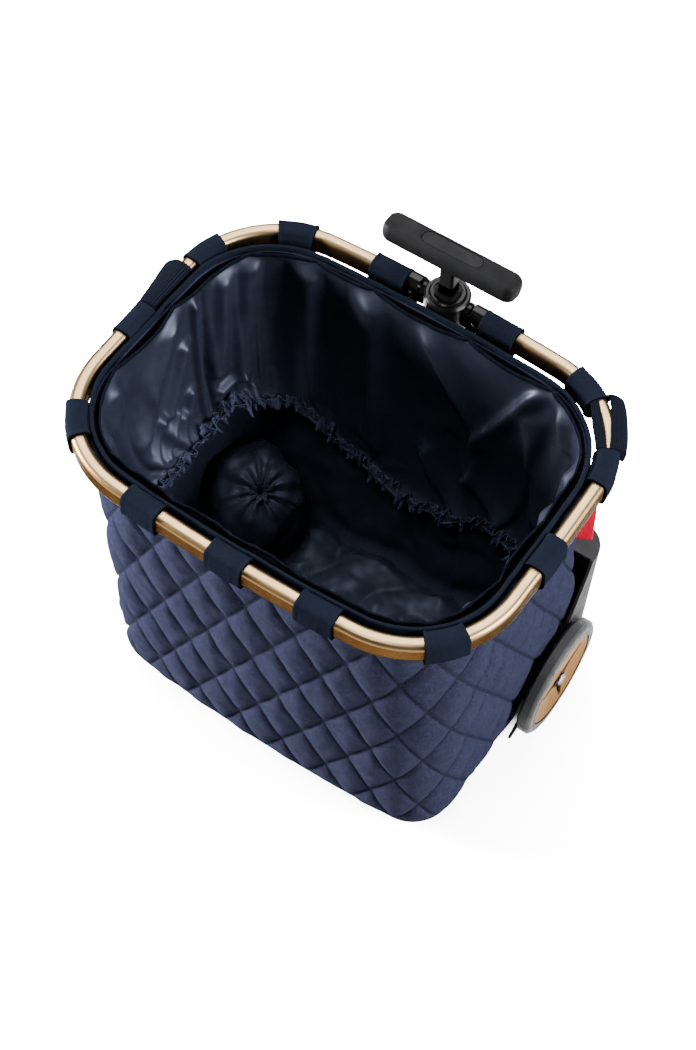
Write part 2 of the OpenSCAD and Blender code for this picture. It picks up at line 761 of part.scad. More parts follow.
module grip_upper() {
  color(black)
    difference() {
      intersection() {
        bar_body();
        translate([-100, 0, bar_split + 0.1]) cube([200, 300, 50]);
      }
      translate([0, rim_b, bar_top - 4]) linear_extrude(10) rounded_box_2d(pad_l + 0.8, pad_w + 0.8, (pad_w + 0.8) / 2 - 0.01);
      translate([-(pad_l + 8) / 2, rim_b - (pad_w + 2) / 2, bar_low]) cube([pad_l + 8, pad_w + 2, 15.6]);
    }
}
// The long oval button in the bar's top, kept in by a flange
spring_low = bar_low + 4.1;
spring_high = bar_low + 11.4;
module release_button() {
  color(black)
    translate([0, rim_b, 0]) {
      translate([0, 0, bar_low + 14]) linear_extrude(bar_top - 0.3 - bar_low - 14) rounded_box_2d(pad_l, pad_w, pad_w / 2 - 0.01);
      translate([0, 0, bar_low + 11.5]) linear_extrude(3.8) rounded_box_2d(pad_l + 5, pad_w + 1, 3);
    }
}
module release_rod() {
  color(silver) translate([0, rim_b, inner_low + 8]) cylinder(r = rod_r, h = bar_low + 11.4 - inner_low - 8);
}
module button_spring() {
  turns = 4;
  wire = 0.5;
  coil_r = 4.2;
  steps = 14;
  rise = spring_high - spring_low - 2 * wire;
  color(silver)
    translate([0, rim_b, spring_low + wire])
      skin([
        for (i = [0 : turns * steps])
          let (t = i * 360 / steps)
          [for (k = [0 : 5])
            let (q = -k * 60, r = coil_r + wire * cos(q))
            [r * cos(t), r * sin(t), rise * i / (turns * steps) + wire * sin(q)]]
      ]);
}

// ---------- Pieces, moved to the origin ----------
module place() { translate([0, depth_shift, 0]) children(); }

place() rim_tube();
place() sleeve_left();
place() sleeve_right();
place() sleeve_rivets();
place() handle_housing();
place() housing_bezel();
place() frame_loop(0);  // frame_loop_01
place() frame_loop(1);  // frame_loop_02
place() frame_loop(2);  // frame_loop_03
place() frame_loop(3);  // frame_loop_04
place() frame_loop(4);  // frame_loop_05
place() frame_loop(5);  // frame_loop_06
place() frame_loop(6);  // frame_loop_07
place() frame_loop(7);  // frame_loop_08
place() frame_loop(8);  // frame_loop_09
place() frame_loop(9);  // frame_loop_10
place() frame_loop(10);  // frame_loop_11
place() frame_loop(11);  // frame_loop_12
place() frame_loop(12);  // frame_loop_13
place() carry_strap_left();
place() carry_strap_right();
place() bag_shell();
place() rim_binding();
place() hook_tape();
place() base_board();
place() lining();
place() closure_collar();
place() collar_hem();
place() side_pocket();
place() side_tab();
place() base_tray();
place() chassis_shell();
place() back_plate();
place() chassis_screws();
place() tube_foot();
place() outer_tube();
place() outer_bush();
place() foot(-1);  // foot_left
place() foot(1);  // foot_right
place() stub_axle(-1);  // stub_axle_left
place() stub_axle(1);  // stub_axle_right
place() axle_cap(-1);  // axle_cap_left
place() axle_cap(1);  // axle_cap_right
place() middle_tube();
place() middle_bush();
place() inner_tube();
place() handle_neck();
place() grip_lower();
place() grip_upper();
place() release_button();
place() button_spring();
place() release_rod();
place() tyre(-1);  // tyre_left
place() tyre(1);  // tyre_right
place() hub(-1);  // hub_left
place() hub(1);  // hub_right
place() hub_disc(-1);  // hub_disc_left
place() hub_disc(1);  // hub_disc_right
place() wheel_bush(-1);  // wheel_bush_left
place() wheel_bush(1);  // wheel_bush_right
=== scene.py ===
"""The looks of a shopping trolley on wheels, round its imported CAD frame. Metres, +Z up, +Y to the handle."""
import json
import math
import random

import bpy
import numpy as np
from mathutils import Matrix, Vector, noise


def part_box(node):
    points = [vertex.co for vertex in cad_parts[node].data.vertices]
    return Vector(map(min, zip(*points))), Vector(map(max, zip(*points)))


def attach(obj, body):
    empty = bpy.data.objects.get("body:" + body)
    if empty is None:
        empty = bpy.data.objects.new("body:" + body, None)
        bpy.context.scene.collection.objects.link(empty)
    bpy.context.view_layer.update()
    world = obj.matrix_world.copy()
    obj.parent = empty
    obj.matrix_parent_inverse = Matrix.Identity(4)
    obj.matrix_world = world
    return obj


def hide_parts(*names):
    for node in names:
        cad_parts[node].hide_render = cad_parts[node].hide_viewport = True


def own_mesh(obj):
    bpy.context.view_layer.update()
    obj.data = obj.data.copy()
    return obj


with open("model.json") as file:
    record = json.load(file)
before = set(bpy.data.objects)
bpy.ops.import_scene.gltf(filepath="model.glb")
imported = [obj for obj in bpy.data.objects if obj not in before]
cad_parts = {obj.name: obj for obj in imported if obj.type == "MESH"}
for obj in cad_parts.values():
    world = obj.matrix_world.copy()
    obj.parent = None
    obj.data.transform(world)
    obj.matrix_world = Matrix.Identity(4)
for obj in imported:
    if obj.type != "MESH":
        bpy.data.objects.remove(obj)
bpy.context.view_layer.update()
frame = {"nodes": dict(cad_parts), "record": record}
random.seed(7)
TAU = 2 * math.pi
UP = np.array([0, 0, 1])


# ---------- Sizes: from the frame where a node gives them, else as the CAD source has them ----------

def middle(node):
    low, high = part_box(node)
    return (low + high) / 2


def size(node):
    low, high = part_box(node)
    return high - low


TUBE_T = 0.013
TUBE_H = size("rim_tube").z
RIM_Z = middle("rim_tube").z
RIM_A = size("rim_tube").x / 2 - TUBE_T / 2
RIM_B = 0.1595
LONG_BOW = 1.68
SHORT_BOW = 2.9
CORNER = 0.095
HANDLE_Y = middle("outer_tube").y
CENTRE_Y = HANDLE_Y - RIM_B
BAG_LOW, BAG_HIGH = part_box("bag_shell")
MOUTH_Z = BAG_HIGH.z
FOOT_Z = BAG_LOW.z
MOUTH_A = size("bag_shell").x / 2
MOUTH_B = size("bag_shell").y / 2
MOUTH_Y = middle("bag_shell").y
HEM_FRONT_Z = 0.198


# ---------- Outlines of eight arcs ----------

class Outline:
    """A rounded rectangle whose sides bow outward. It runs from the middle of the front towards +X."""

    def __init__(self, half_l, half_w, long_r, short_r, corner_r, y):
        self.sizes = np.array([half_l, half_w, long_r, short_r, corner_r, y], float)
        half_l, half_w, long_r, short_r, corner_r, y = self.sizes
        long_c = np.array([0, half_w - long_r])
        short_c = np.array([half_l - short_r, 0])
        self.corner = self.far_meet(long_c, long_r - corner_r, short_c, short_r - corner_r)
        self.to_long = math.atan2(self.corner[1] - long_c[1], self.corner[0])
        self.to_short = math.atan2(self.corner[1], self.corner[0] - short_c[0])
        lengths = [long_r * (math.pi / 2 - self.to_long), corner_r * (self.to_long - self.to_short),
                   short_r * self.to_short]
        self.quarter = sum(lengths)
        self.length = 4 * self.quarter
        self.lengths = lengths

    @staticmethod
    def far_meet(c1, r1, c2, r2):
        d = c2 - c1
        l = np.linalg.norm(d)
        u = d / l
        x = (l * l + r1 * r1 - r2 * r2) / (2 * l)
        h = math.sqrt(max(0, r1 * r1 - x * x))
        return np.abs(c1 + u * x + np.array([-u[1], u[0]]) * (h if u[0] > 0 else -h))

    def grown(self, d):
        return Outline(*(self.sizes + np.array([d, d, d, d, d, 0])))

    def mixed(self, other, t):
        return Outline(*(self.sizes * (1 - t) + other.sizes * t))

    def quarter_at(self, s):
        """Points and outward normals in the quarter x > 0, y > 0, s metres from the long side's middle."""
        half_l, half_w, long_r, short_r, corner_r, _ = self.sizes
        s = np.clip(s, 0, self.quarter)
        one, two, _ = self.lengths
        on_long, on_corner = s <= one, (s > one) & (s <= one + two)
        angle = np.where(on_long, math.pi / 2 - s / long_r,
                         np.where(on_corner, self.to_long - (s - one) / corner_r,
                                  self.to_short - (s - one - two) / short_r))
        radius = np.where(on_long, long_r, np.where(on_corner, corner_r, short_r))
        cx = np.where(on_long, 0, np.where(on_corner, self.corner[0], half_l - short_r))
        cy = np.where(on_long, half_w - long_r, np.where(on_corner, self.corner[1], 0))
        n = np.stack([np.cos(angle), np.sin(angle)], -1)
        return np.stack([cx, cy], -1) + radius[..., None] * n, n

    def at(self, s):
        """Points and outward normals s metres along, anticlockwise from the middle of the front."""
        s = np.mod(np.asarray(s, float), self.length)
        q = self.quarter
        part = np.minimum((s // q).astype(int), 3)
        along = s - part * q
        along = np.where(part % 2 == 0, along, q - along)
        p, n = self.quarter_at(along)
        sign = np.stack([np.where(part < 2, 1, -1), np.where((part == 0) | (part == 3), -1, 1)], -1)
        p, n = p * sign, n * sign
        return p + np.array([0, self.sizes[5]]), n

    def outside(self, x, y):
        """How far points lie outside the outline; negative inside."""
        half_l, half_w, long_r, short_r, corner_r, cy = self.sizes
        x, y = np.abs(x), np.abs(y - cy)
        to_long = np.hypot(x, y - half_w + long_r) - long_r
        to_short = np.hypot(x - half_l + short_r, y) - short_r
        to_corner = np.hypot(x - self.corner[0], y - self.corner[1]) - corner_r
        over_long = np.arctan2(y - half_w + long_r, x) > self.to_long
        over_short = np.arctan2(y, x - half_l + short_r) < self.to_short
        return np.where(over_long, to_long, np.where(over_short, to_short, to_corner))


RIM = Outline(RIM_A, RIM_B, LONG_BOW, SHORT_BOW, CORNER, CENTRE_Y)
MOUTH = Outline(MOUTH_A, MOUTH_B, LONG_BOW - 0.016, SHORT_BOW - 0.016, CORNER - 0.011, MOUTH_Y)
FOOT = Outline(0.185, 0.129, LONG_BOW, SHORT_BOW, 0.042, CENTRE_Y + 0.005)
HEM = Outline(0.158, 0.108, 1.5, 2.5, 0.062, CENTRE_Y + 0.002)


def level(z):
    """The outline of the basket's wall at a height."""
    return FOOT.mixed(MOUTH, (z - FOOT_Z) / (MOUTH_Z - FOOT_Z))


# ---------- Mesh helpers ----------

def put(name, data):
    """An object in the scene."""
    obj = bpy.data.objects.new(name, data)
    bpy.context.scene.collection.objects.link(obj)
    return obj


def new_mesh(name, verts, faces):
    mesh = bpy.data.meshes.new(name)
    mesh.from_pydata([tuple(v) for v in verts], [], faces)
    return mesh


def new_object(name, verts, faces, material, body="trolley"):
    mesh = new_mesh(name, verts, faces)
    mesh.validate()
    mesh.shade_smooth()
    mesh.materials.append(material)
    obj = put(name, mesh)
    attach(obj, body)
    return obj


def grid_faces(rows, columns, wrap_rows=False, wrap_columns=True):
    faces = []
    for i in range(rows if wrap_rows else rows - 1):
        for j in range(columns if wrap_columns else columns - 1):
            a, b = i * columns + j, i * columns + (j + 1) % columns
            c, d = ((i + 1) % rows) * columns + (j + 1) % columns, ((i + 1) % rows) * columns + j
            faces.append((a, b, c, d))
    return faces


def corners(mesh):
    """For each face corner of a mesh: its vertex, its face, and how many corners that face has."""
    index = np.zeros(len(mesh.loops), np.int32)
    mesh.loops.foreach_get("vertex_index", index)
    total = np.zeros(len(mesh.polygons), np.int32)
    mesh.polygons.foreach_get("loop_total", total)
    face = np.repeat(np.arange(len(total)), total)
    return index, face, total[face]


def set_uv(obj, u, v):
    """Writes one UV pair a vertex. Where u jumps back at the seam, the face's corner carries on past it."""
    mesh = obj.data
    layer = mesh.uv_layers.new(name="UVMap")
    span = float(np.max(u) - np.min(u))
    index, face, _ = corners(mesh)
    uu, vv = np.asarray(u, float)[index], np.asarray(v, float)[index]
    top = np.full(len(mesh.polygons), -1e9)
    np.maximum.at(top, face, uu)
    uu = np.where(top[face] - uu > span / 2, uu + span * (1 + 1 / len(np.unique(np.round(u, 7)))), uu)
    layer.data.foreach_set("uv", np.stack([uu, vv], -1).ravel())


def modifier(obj, kind, **values):
    m = obj.modifiers.new(kind.lower(), kind)
    for key, value in values.items():
        setattr(m, key, value)
    return m


def smooth_line(points, n, closed=False):
    """A Catmull-Rom curve through points, as n points."""
    p = np.asarray(points, float)
    count = len(p) if closed else len(p) - 1
    out = []
    for k in range(n):
        t = k * count / (n if closed else n - 1)
        i = min(int(t), count - 1)
        f = t - i
        pick = [(i + d) % len(p) if closed else min(max(i + d, 0), len(p) - 1) for d in (-1, 0, 1, 2)]
        a, b, c, d = (p[m] for m in pick)
        out.append(0.5 * (2 * b + (c - a) * f + (2 * a - 5 * b + 4 * c - d) * f * f
                          + (3 * b - a - 3 * c + d) * f ** 3))
    return np.array(out)


def wobble(points, scale, amount, seed=0.0):
    """Smooth noise for each point, the same each run."""
    offset = Vector((seed, seed * 1.7, -seed))
    return np.array([noise.noise(Vector(p) / scale + offset) for p in points]) * amount


def end_faces(rows, columns):
    """The two faces that close the ends of a grid of rings."""
    return [tuple(range(columns))[::-1], tuple(range((rows - 1) * columns, rows * columns))]


def skin(name, grid, material, ends=(), wrap_rows=False, wrap_columns=True, **kw):
    """An object over a grid of points. ends picks the end faces: 0 the first ring's, 1 the last ring's."""
    grid = np.asarray(grid)
    rows, columns = grid.shape[:2]
    faces = grid_faces(rows, columns, wrap_rows, wrap_columns) + [end_faces(rows, columns)[k] for k in ends]
    return new_object(name, grid.reshape(-1, 3), faces, material, **kw)


def at_height(p, z):
    """Points in plan, with a height or heights added."""
    return np.column_stack([p, np.broadcast_to(z, len(p))])


def outward(ring):
    """For a closed ring of points, the level directions that point out of it, and the steps along it."""
    tangent = np.roll(ring, -1, 0) - np.roll(ring, 1, 0)
    out = at_height(np.column_stack([tangent[:, 1], -tangent[:, 0]]), 0)
    return out / np.linalg.norm(out, axis=1, keepdims=True), tangent


def toward(centre, p):
    """Level directions from points p towards a centre."""
    inward = centre - p[..., :2]
    return inward / np.linalg.norm(inward, axis=-1, keepdims=True)


# ---------- Materials ----------

SHADE = 0.095  # the floor is lit until it turns white, so every colour is drawn this much darker than life


def shaded(color, share=1.0):
    return tuple(c * SHADE * share for c in color)


MADE = {}  # the materials by name, which is the name of the record's slot where they stand for one


class Shader:
    """A small helper to build a node tree."""

    def __init__(self, name, color, roughness, metallic=0.0, **sockets):
        self.material = bpy.data.materials.new(name)
        self.material.use_nodes = True
        self.tree = self.material.node_tree
        self.bsdf = self.tree.nodes["Principled BSDF"]
        self.bsdf.inputs["Base Color"].default_value = (*shaded(color), 1)
        self.bsdf.inputs["Roughness"].default_value = roughness
        self.bsdf.inputs["Metallic"].default_value = metallic
        for key, value in sockets.items():
            self.bsdf.inputs[key.replace("_", " ")].default_value = value
        self.where = self.add("ShaderNodeTexCoord").outputs["Object"]
        self.height = None
        MADE[name] = self.material

    def add(self, kind, **values):
        node = self.tree.nodes.new(kind)
        for key, value in values.items():
            setattr(node, key, value)
        return node

    def link(self, a, b):
        self.tree.links.new(a, b)

    def math(self, operation, *values):
        node = self.add("ShaderNodeMath", operation=operation)
        for socket, value in zip(node.inputs, values):
            if isinstance(value, (int, float)):
                socket.default_value = value
            else:
                self.link(value, socket)
        return node.outputs[0]

    def noise(self, scale, detail=3.0, stretch=None, roughness=0.55):
        vector = self.where
        if stretch:
            mapping = self.add("ShaderNodeMapping")
            mapping.inputs["Scale"].default_value = stretch
            self.link(vector, mapping.inputs["Vector"])
            vector = mapping.outputs[0]
        node = self.add("ShaderNodeTexNoise")
        node.inputs["Scale"].default_value = scale
        node.inputs["Detail"].default_value = detail
        node.inputs["Roughness"].default_value = roughness
        self.link(vector, node.inputs["Vector"])
        return node.outputs["Fac"]

    def patches(self, scale, detail, low=0.3, high=0.7):
        return self.spread(self.noise(scale, detail), low, high)

    def spread(self, value, low, high, to_low=0.0, to_high=1.0):
        node = self.add("ShaderNodeMapRange")
        self.link(value, node.inputs["Value"])
        for key, number in (("From Min", low), ("From Max", high), ("To Min", to_low), ("To Max", to_high)):
            node.inputs[key].default_value = number
        return node.outputs[0]

    def mix(self, factor, a, b):
        node = self.add("ShaderNodeMix", data_type="RGBA")
        self.link(factor, node.inputs[0])
        for socket, value in ((node.inputs[6], a), (node.inputs[7], b)):
            if isinstance(value, tuple):
                socket.default_value = (*shaded(value), 1)
            else:
                self.link(value, socket)
        return node.outputs[2]

    def vary_color(self, factor, a, b):
        self.link(self.mix(factor, a, b), self.bsdf.inputs["Base Color"])

    def vary_roughness(self, factor, low, high):
        self.link(self.spread(factor, 0.3, 0.7, low, high), self.bsdf.inputs["Roughness"])

    def bump(self, height, distance, strength=1.0):
        node = self.add("ShaderNodeBump")
        node.inputs["Distance"].default_value = distance
        node.inputs["Strength"].default_value = strength
        self.link(height, node.inputs["Height"])
        if self.height is not None:
            self.link(self.height, node.inputs["Normal"])
        self.height = node.outputs[0]
        self.link(self.height, self.bsdf.inputs["Normal"])

    def uv_axes(self, name="UVMap"):
        node = self.add("ShaderNodeUVMap", uv_map=name)
        split = self.add("ShaderNodeSeparateXYZ")
        self.link(node.outputs[0], split.inputs[0])
        return split.outputs[0], split.outputs[1]

    def weave(self, u, v, pitch):
        """A plain weave: two sets of rounded threads that pass over and under each other."""
        across = self.math("SINE", self.math("MULTIPLY", u, TAU / pitch))
        along = self.math("SINE", self.math("MULTIPLY", v, TAU / pitch))
        return self.math("MULTIPLY", across, along)


def fabric(name, dark, light, pitch=0.0009):
    """A plain woven cloth, with its weave laid along the piece's UVs and a painted highlight on its raised
    threads.
    """
    s = Shader(name, dark, 0.85, Specular_IOR_Level=0.0)
    u, v = s.uv_axes()
    weave = s.weave(u, v, pitch)
    base = s.mix(s.patches(45, 4), dark, light)
    # painted highlight: where the weave stands highest the cloth is drawn towards a colour 2.2 times lighter
    s.vary_color(s.spread(weave, -0.6, 0.9, 0.0, 0.6), base, tuple(c * 2.2 for c in light))
    s.vary_roughness(s.noise(160), 0.78, 0.95)
    s.bump(weave, 0.00012, 0.7)
    s.bump(s.noise(900, 2), 0.0002, 0.5)
    return s.material


RIB = 0.001  # how far a rib of webbing reaches across its UVs


def webbing_fabric():
    """Ribbed webbing, with painted shade between its ribs and a painted highlight on its raised threads."""
    # the first colour is painted shade, drawn in the grooves between the ribs
    painted_groove_shade, dark, light = (0.0016, 0.0020, 0.0036), (0.0055, 0.0068, 0.0115), (0.0120, 0.0142, 0.0230)
    s = Shader("ribbed_webbing", dark, 0.85, Specular_IOR_Level=0.0)
    u, v = s.uv_axes()
    rib = s.math("ABSOLUTE", s.math("SINE", s.math("MULTIPLY", v, math.pi / RIB)))
    thread = s.weave(u, v, RIB / 2)
    # painted highlight: the threads' raised points are drawn lighter
    top = s.mix(s.spread(thread, -0.6, 0.9), dark, light)
    # painted shade: the grooves between the ribs take the darkest colour
    s.vary_color(s.spread(rib, 0.1, 0.8), painted_groove_shade, top)
    s.vary_roughness(s.noise(160), 0.78, 0.95)
    s.bump(rib, 0.0004, 0.8)
    s.bump(thread, 0.00012, 0.6)
    return s.material


STITCHES = 14     # to one side of a diamond
STITCH_W = 0.008  # half a thread's width, in diamonds


def quilt_fabric():
    """Brushed navy cloth, with painted shade along its stitched creases. The UVs count quilted diamonds, so
    whole numbers are the stitched lines.
    """
    dark, light, thread = (0.0105, 0.0117, 0.0245), (0.0150, 0.0168, 0.0340), (0.024, 0.024, 0.044)
    fibre_tip, painted_crease_shade = (0.034, 0.036, 0.064), (0.0010, 0.0010, 0.0028)
    s = Shader("quilted_navy", dark, 0.95, Sheen_Weight=0.0018, Sheen_Roughness=0.5, Specular_IOR_Level=0.0)
    s.bsdf.inputs["Sheen Tint"].default_value = (0.60, 0.68, 1.0, 1)
    a, b = s.uv_axes("lattice")
    masks = []
    for across, along in ((a, b), (b, a)):
        off = s.math("ABSOLUTE", s.math("SUBTRACT", s.math("FRACT", s.math("ADD", across, 0.5)), 0.5))
        near = s.math("LESS_THAN", off, STITCH_W)
        stitch = s.math("LESS_THAN", s.math("FRACT", s.math("MULTIPLY", along, STITCHES)), 0.62)
        masks.append((off, s.math("MULTIPLY", near, stitch)))
    crease = s.math("MINIMUM", masks[0][0], masks[1][0])
    stitches = s.math("MAXIMUM", masks[0][1], masks[1][1])
    fibre = s.noise(560, 4, roughness=0.7)
    base = s.mix(s.patches(60, 5), dark, light)
    base = s.mix(s.spread(fibre, 0.45, 0.72), base, fibre_tip)
    # painted shade: near the stitched lines the cloth is drawn almost black
    base = s.mix(s.spread(crease, 0.0, 0.045, 0.95, 0.0), base, painted_crease_shade)
    s.vary_color(stitches, base, thread)
    s.bump(fibre, 0.0003, 0.55)
    s.bump(s.noise(2200, 1), 0.0002, 0.5)
    s.bump(stitches, 0.0004, 0.6)
    return s.material


def satin():
    """Smooth navy satin, painted a little paler down in the basket, where little light reaches it."""
    top, top_light = (0.0068, 0.0083, 0.0155), (0.0098, 0.0118, 0.0220)
    low, low_light = (0.0260, 0.0310, 0.0540), (0.0370, 0.0440, 0.0740)
    s = Shader("navy_satin", top, 0.45, Sheen_Weight=0.0008, Sheen_Roughness=0.35, Specular_IOR_Level=0.045)
    s.bsdf.inputs["Sheen Tint"].default_value = (0.62, 0.72, 1.0, 1)
    s.bsdf.inputs["Specular Tint"].default_value = (0.66, 0.75, 1.0, 1)
    split = s.add("ShaderNodeSeparateXYZ")
    s.link(s.where, split.inputs[0])
    depth = s.spread(split.outputs[2], MOUTH_Z - 0.05, 0.15)
    patches = s.patches(25, 3)
    s.vary_color(depth, s.mix(patches, top, top_light), s.mix(patches, low, low_light))
    s.vary_roughness(s.noise(70, 4), 0.42, 0.54)
    s.bump(s.noise(300, 2, stretch=(1, 1, 0.25)), 0.0002, 0.15)
    s.bump(s.noise(2600, 1), 0.0001, 0.25)
    return s.material


def satin_edge(name, blue):
    """Satin that is folded or crinkled fine. blue sets how pale it is."""
    dark, light = (blue * 0.42, blue * 0.52, blue), (blue * 0.75, blue * 0.9, blue * 1.6)
    s = Shader(name, dark, 0.55, Specular_IOR_Level=0.0)
    s.vary_color(s.patches(240, 4, 0.35), dark, light)
    s.bump(s.noise(500, 3), 0.0005, 0.6)
    return s.material


def soft_edges(s, radius):
    """Rounds a moulded piece's edges in the shading alone."""
    node = s.add("ShaderNodeBevel", samples=4)
    node.inputs["Radius"].default_value = radius
    s.height = node.outputs[0]


def plastic(name, color, roughness, grain=1500, depth=0.00008, coat=0.0, edge=0.0006):
    s = Shader(name, color, roughness, Coat_Weight=coat, Coat_Roughness=0.08, Specular_IOR_Level=0.008)
    soft_edges(s, edge)
    lighter = tuple(min(1, c * 1.35 + 0.001) for c in color)
    s.vary_color(s.patches(35, 4, 0.35), color, lighter)
    s.vary_roughness(s.noise(90, 4), roughness * 0.85, min(1, roughness * 1.2))
    s.bump(s.noise(grain, 2), depth, 0.5)
    return s.material


EDGE_TINT = 2.9  # keeps a metal its own colour where it is seen at a glancing angle


def metal(name, color, roughness, stretch=(1, 1, 1)):
    s = Shader(name, color, roughness, 1.0)
    glance = tuple(c * 0.5 + max(color) * 0.5 for c in color)
    s.bsdf.inputs["Specular Tint"].default_value = (*shaded(glance, EDGE_TINT), 1)
    darker = tuple(c * 0.85 for c in color)
    s.vary_color(s.patches(30, 3, 0.35), color, darker)
    s.vary_roughness(s.noise(60, 3, stretch=stretch), roughness * 0.9, roughness * 1.12)
    s.bump(s.noise(700, 2, stretch=stretch), 0.00003, 0.1)
    return s.material


def rubber(name, color):
    s = Shader(name, color, 0.75, Specular_IOR_Level=0.05)
    dusty = tuple(min(1, c * 1.35 + 0.002) for c in color)
    s.vary_color(s.patches(55, 5, 0.4, 0.75), color, dusty)
    s.vary_roughness(s.noise(120, 4), 0.62, 0.88)
    s.bump(s.noise(1300, 3), 0.00015, 0.5)


NAVY = fabric("navy_fabric", (0.0042, 0.0054, 0.0095), (0.0060, 0.0076, 0.0130))
WEBBING = webbing_fabric()
# the black tape also serves as painted shade inside the loops round the tube
TAPE_AND_GAP_SHADE = fabric("black_tape", (0.0010, 0.0010, 0.0016), (0.0022, 0.0022, 0.0032))
RED = fabric("red_fabric", (0.26, 0.0014, 0.012), (0.33, 0.0024, 0.018), pitch=0.0006)
QUILT = quilt_fabric()
SATIN = satin()
EDGE = satin_edge("satin_edge", 0.007)
FRILL = satin_edge("satin_frill", 0.085)
metal("gold_tube", (0.40, 0.268, 0.138), 0.36)
metal("gold_disc", (0.86, 0.520, 0.225), 0.45)
MADE["rivet_steel"] = metal("bright_steel", (0.8, 0.8, 0.84), 0.25)
plastic("gloss_black", (0.0022, 0.0022, 0.0024), 0.24, coat=0.006)
plastic("black_plastic", (0.0028, 0.0028, 0.0030), 0.5)
plastic("grey_plastic", (0.022, 0.022, 0.024), 0.62, grain=900, depth=0.00015)
GRIP = plastic("grip_plastic", (0.0042, 0.0043, 0.0048), 0.6, grain=1600, depth=0.00014, edge=0.001)
plastic("button_plastic", (0.0046, 0.0047, 0.0053), 0.5, edge=0.001)
plastic("board_grey", (0.01, 0.01, 0.011), 0.7)
metal("black_aluminium", (0.010, 0.010, 0.011), 0.35, stretch=(1, 1, 0.05))
rubber("rubber", (0.0028, 0.0028, 0.0028))
rubber("grey_tyre", (0.016, 0.016, 0.018))


def finish_cad_nodes():
    """Every carried-over CAD node gets the material of its slot."""
    for part in frame["record"]["subparts"]:
        materials = frame["nodes"][part["node"]].data.materials
        materials.clear()
        materials.append(MADE[part["material_slot"]])


def button_spring():
    """Gives the button's spring, which shortens as the button goes down, a mesh of its own."""
    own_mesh(frame["nodes"]["button_spring"])


# ---------- The quilted basket ----------

DIAMONDS_ROUND = 24
DIAMOND_H = 0.098
CELLS = 24             # mesh columns to one diamond's width, and rows to its height
LATTICE_X = 0.0261     # a stitched crossing on the front
LATTICE_Z = 0.167
PUFF = 0.0054          # how far a diamond's middle stands out
CREASE_IN = 0.0014     # how far a stitched line is pulled in
SQUARE_CORNER = 0.024  # corner radius where the fabric fills the chassis
CHEEK_T = 0.003
FILL_ABOVE = 0.07      # how far above the chassis the filling ends
FILL_FADE = 0.09       # and over what height it does
FOOT_ROUND = 0.012     # radius of the rounded edge at the foot
FOOT_ROWS = 6
INNER_WALL = ((MOUTH_Z, 0.004), (MOUTH_Z - 0.1, 0.004), (FOOT_Z + 0.03, 0.005), (FOOT_Z + 0.006, 0.012))


def pillow(a, b):
    """How full the padding is, 0 on the stitched lines and 1 mid-diamond."""
    fa, fb = a - np.floor(a), b - np.floor(b)
    return np.power(np.clip(16 * fa * (1 - fa) * fb * (1 - fb), 0, 1), 0.46)


def smooth_step(x):
    x = np.clip(x, 0, 1)
    return x * x * (3 - 2 * x)


def wall_ring(z, share):
    """Points and outward normals of the wall at a height. Low at the back it fills the chassis's corners."""
    outline = level(z)
    p, n = outline.at(share * outline.length)
    wide = max(outline.sizes[0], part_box("chassis_shell")[1].x - CHEEK_T - PUFF)
    squarer = Outline(wide, *outline.sizes[1:4], SQUARE_CORNER, outline.sizes[5])
    q, m = squarer.at(share * squarer.length)
    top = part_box("chassis_shell")[1].z
    fill = smooth_step((p[:, 1] - CENTRE_Y) / 0.05) * smooth_step((top + FILL_ABOVE - z) / FILL_FADE)
    p = p + (q - p) * fill[:, None]
    n = n + (m - n) * fill[:, None]
    return p, n / np.linalg.norm(n, axis=1, keepdims=True)


def quilt_row(z, share):
    """One ring of the wall's quilted face, and the two counts of diamonds at its points."""
    p, n = wall_ring(z, share)
    u = share * DIAMONDS_ROUND - LATTICE_X / (level(z).length / DIAMONDS_ROUND)
    q = (z - LATTICE_Z) / DIAMOND_H
    a, b = u + q, u - q
    full = pillow(a, b)
    calm = min(1, (MOUTH_Z - z) / 0.012) * min(1, 0.35 + (z - FOOT_Z - FOOT_ROUND) / 0.03)
    where = at_height(p, z)
    crumple = wobble(where, 0.035, 0.0016, 3) + wobble(where, 0.012, 0.0007, 5)
    out = -CREASE_IN + (PUFF * full + crumple * (0.3 + full)) * calm
    return at_height(p + n * out[:, None], z), a, b


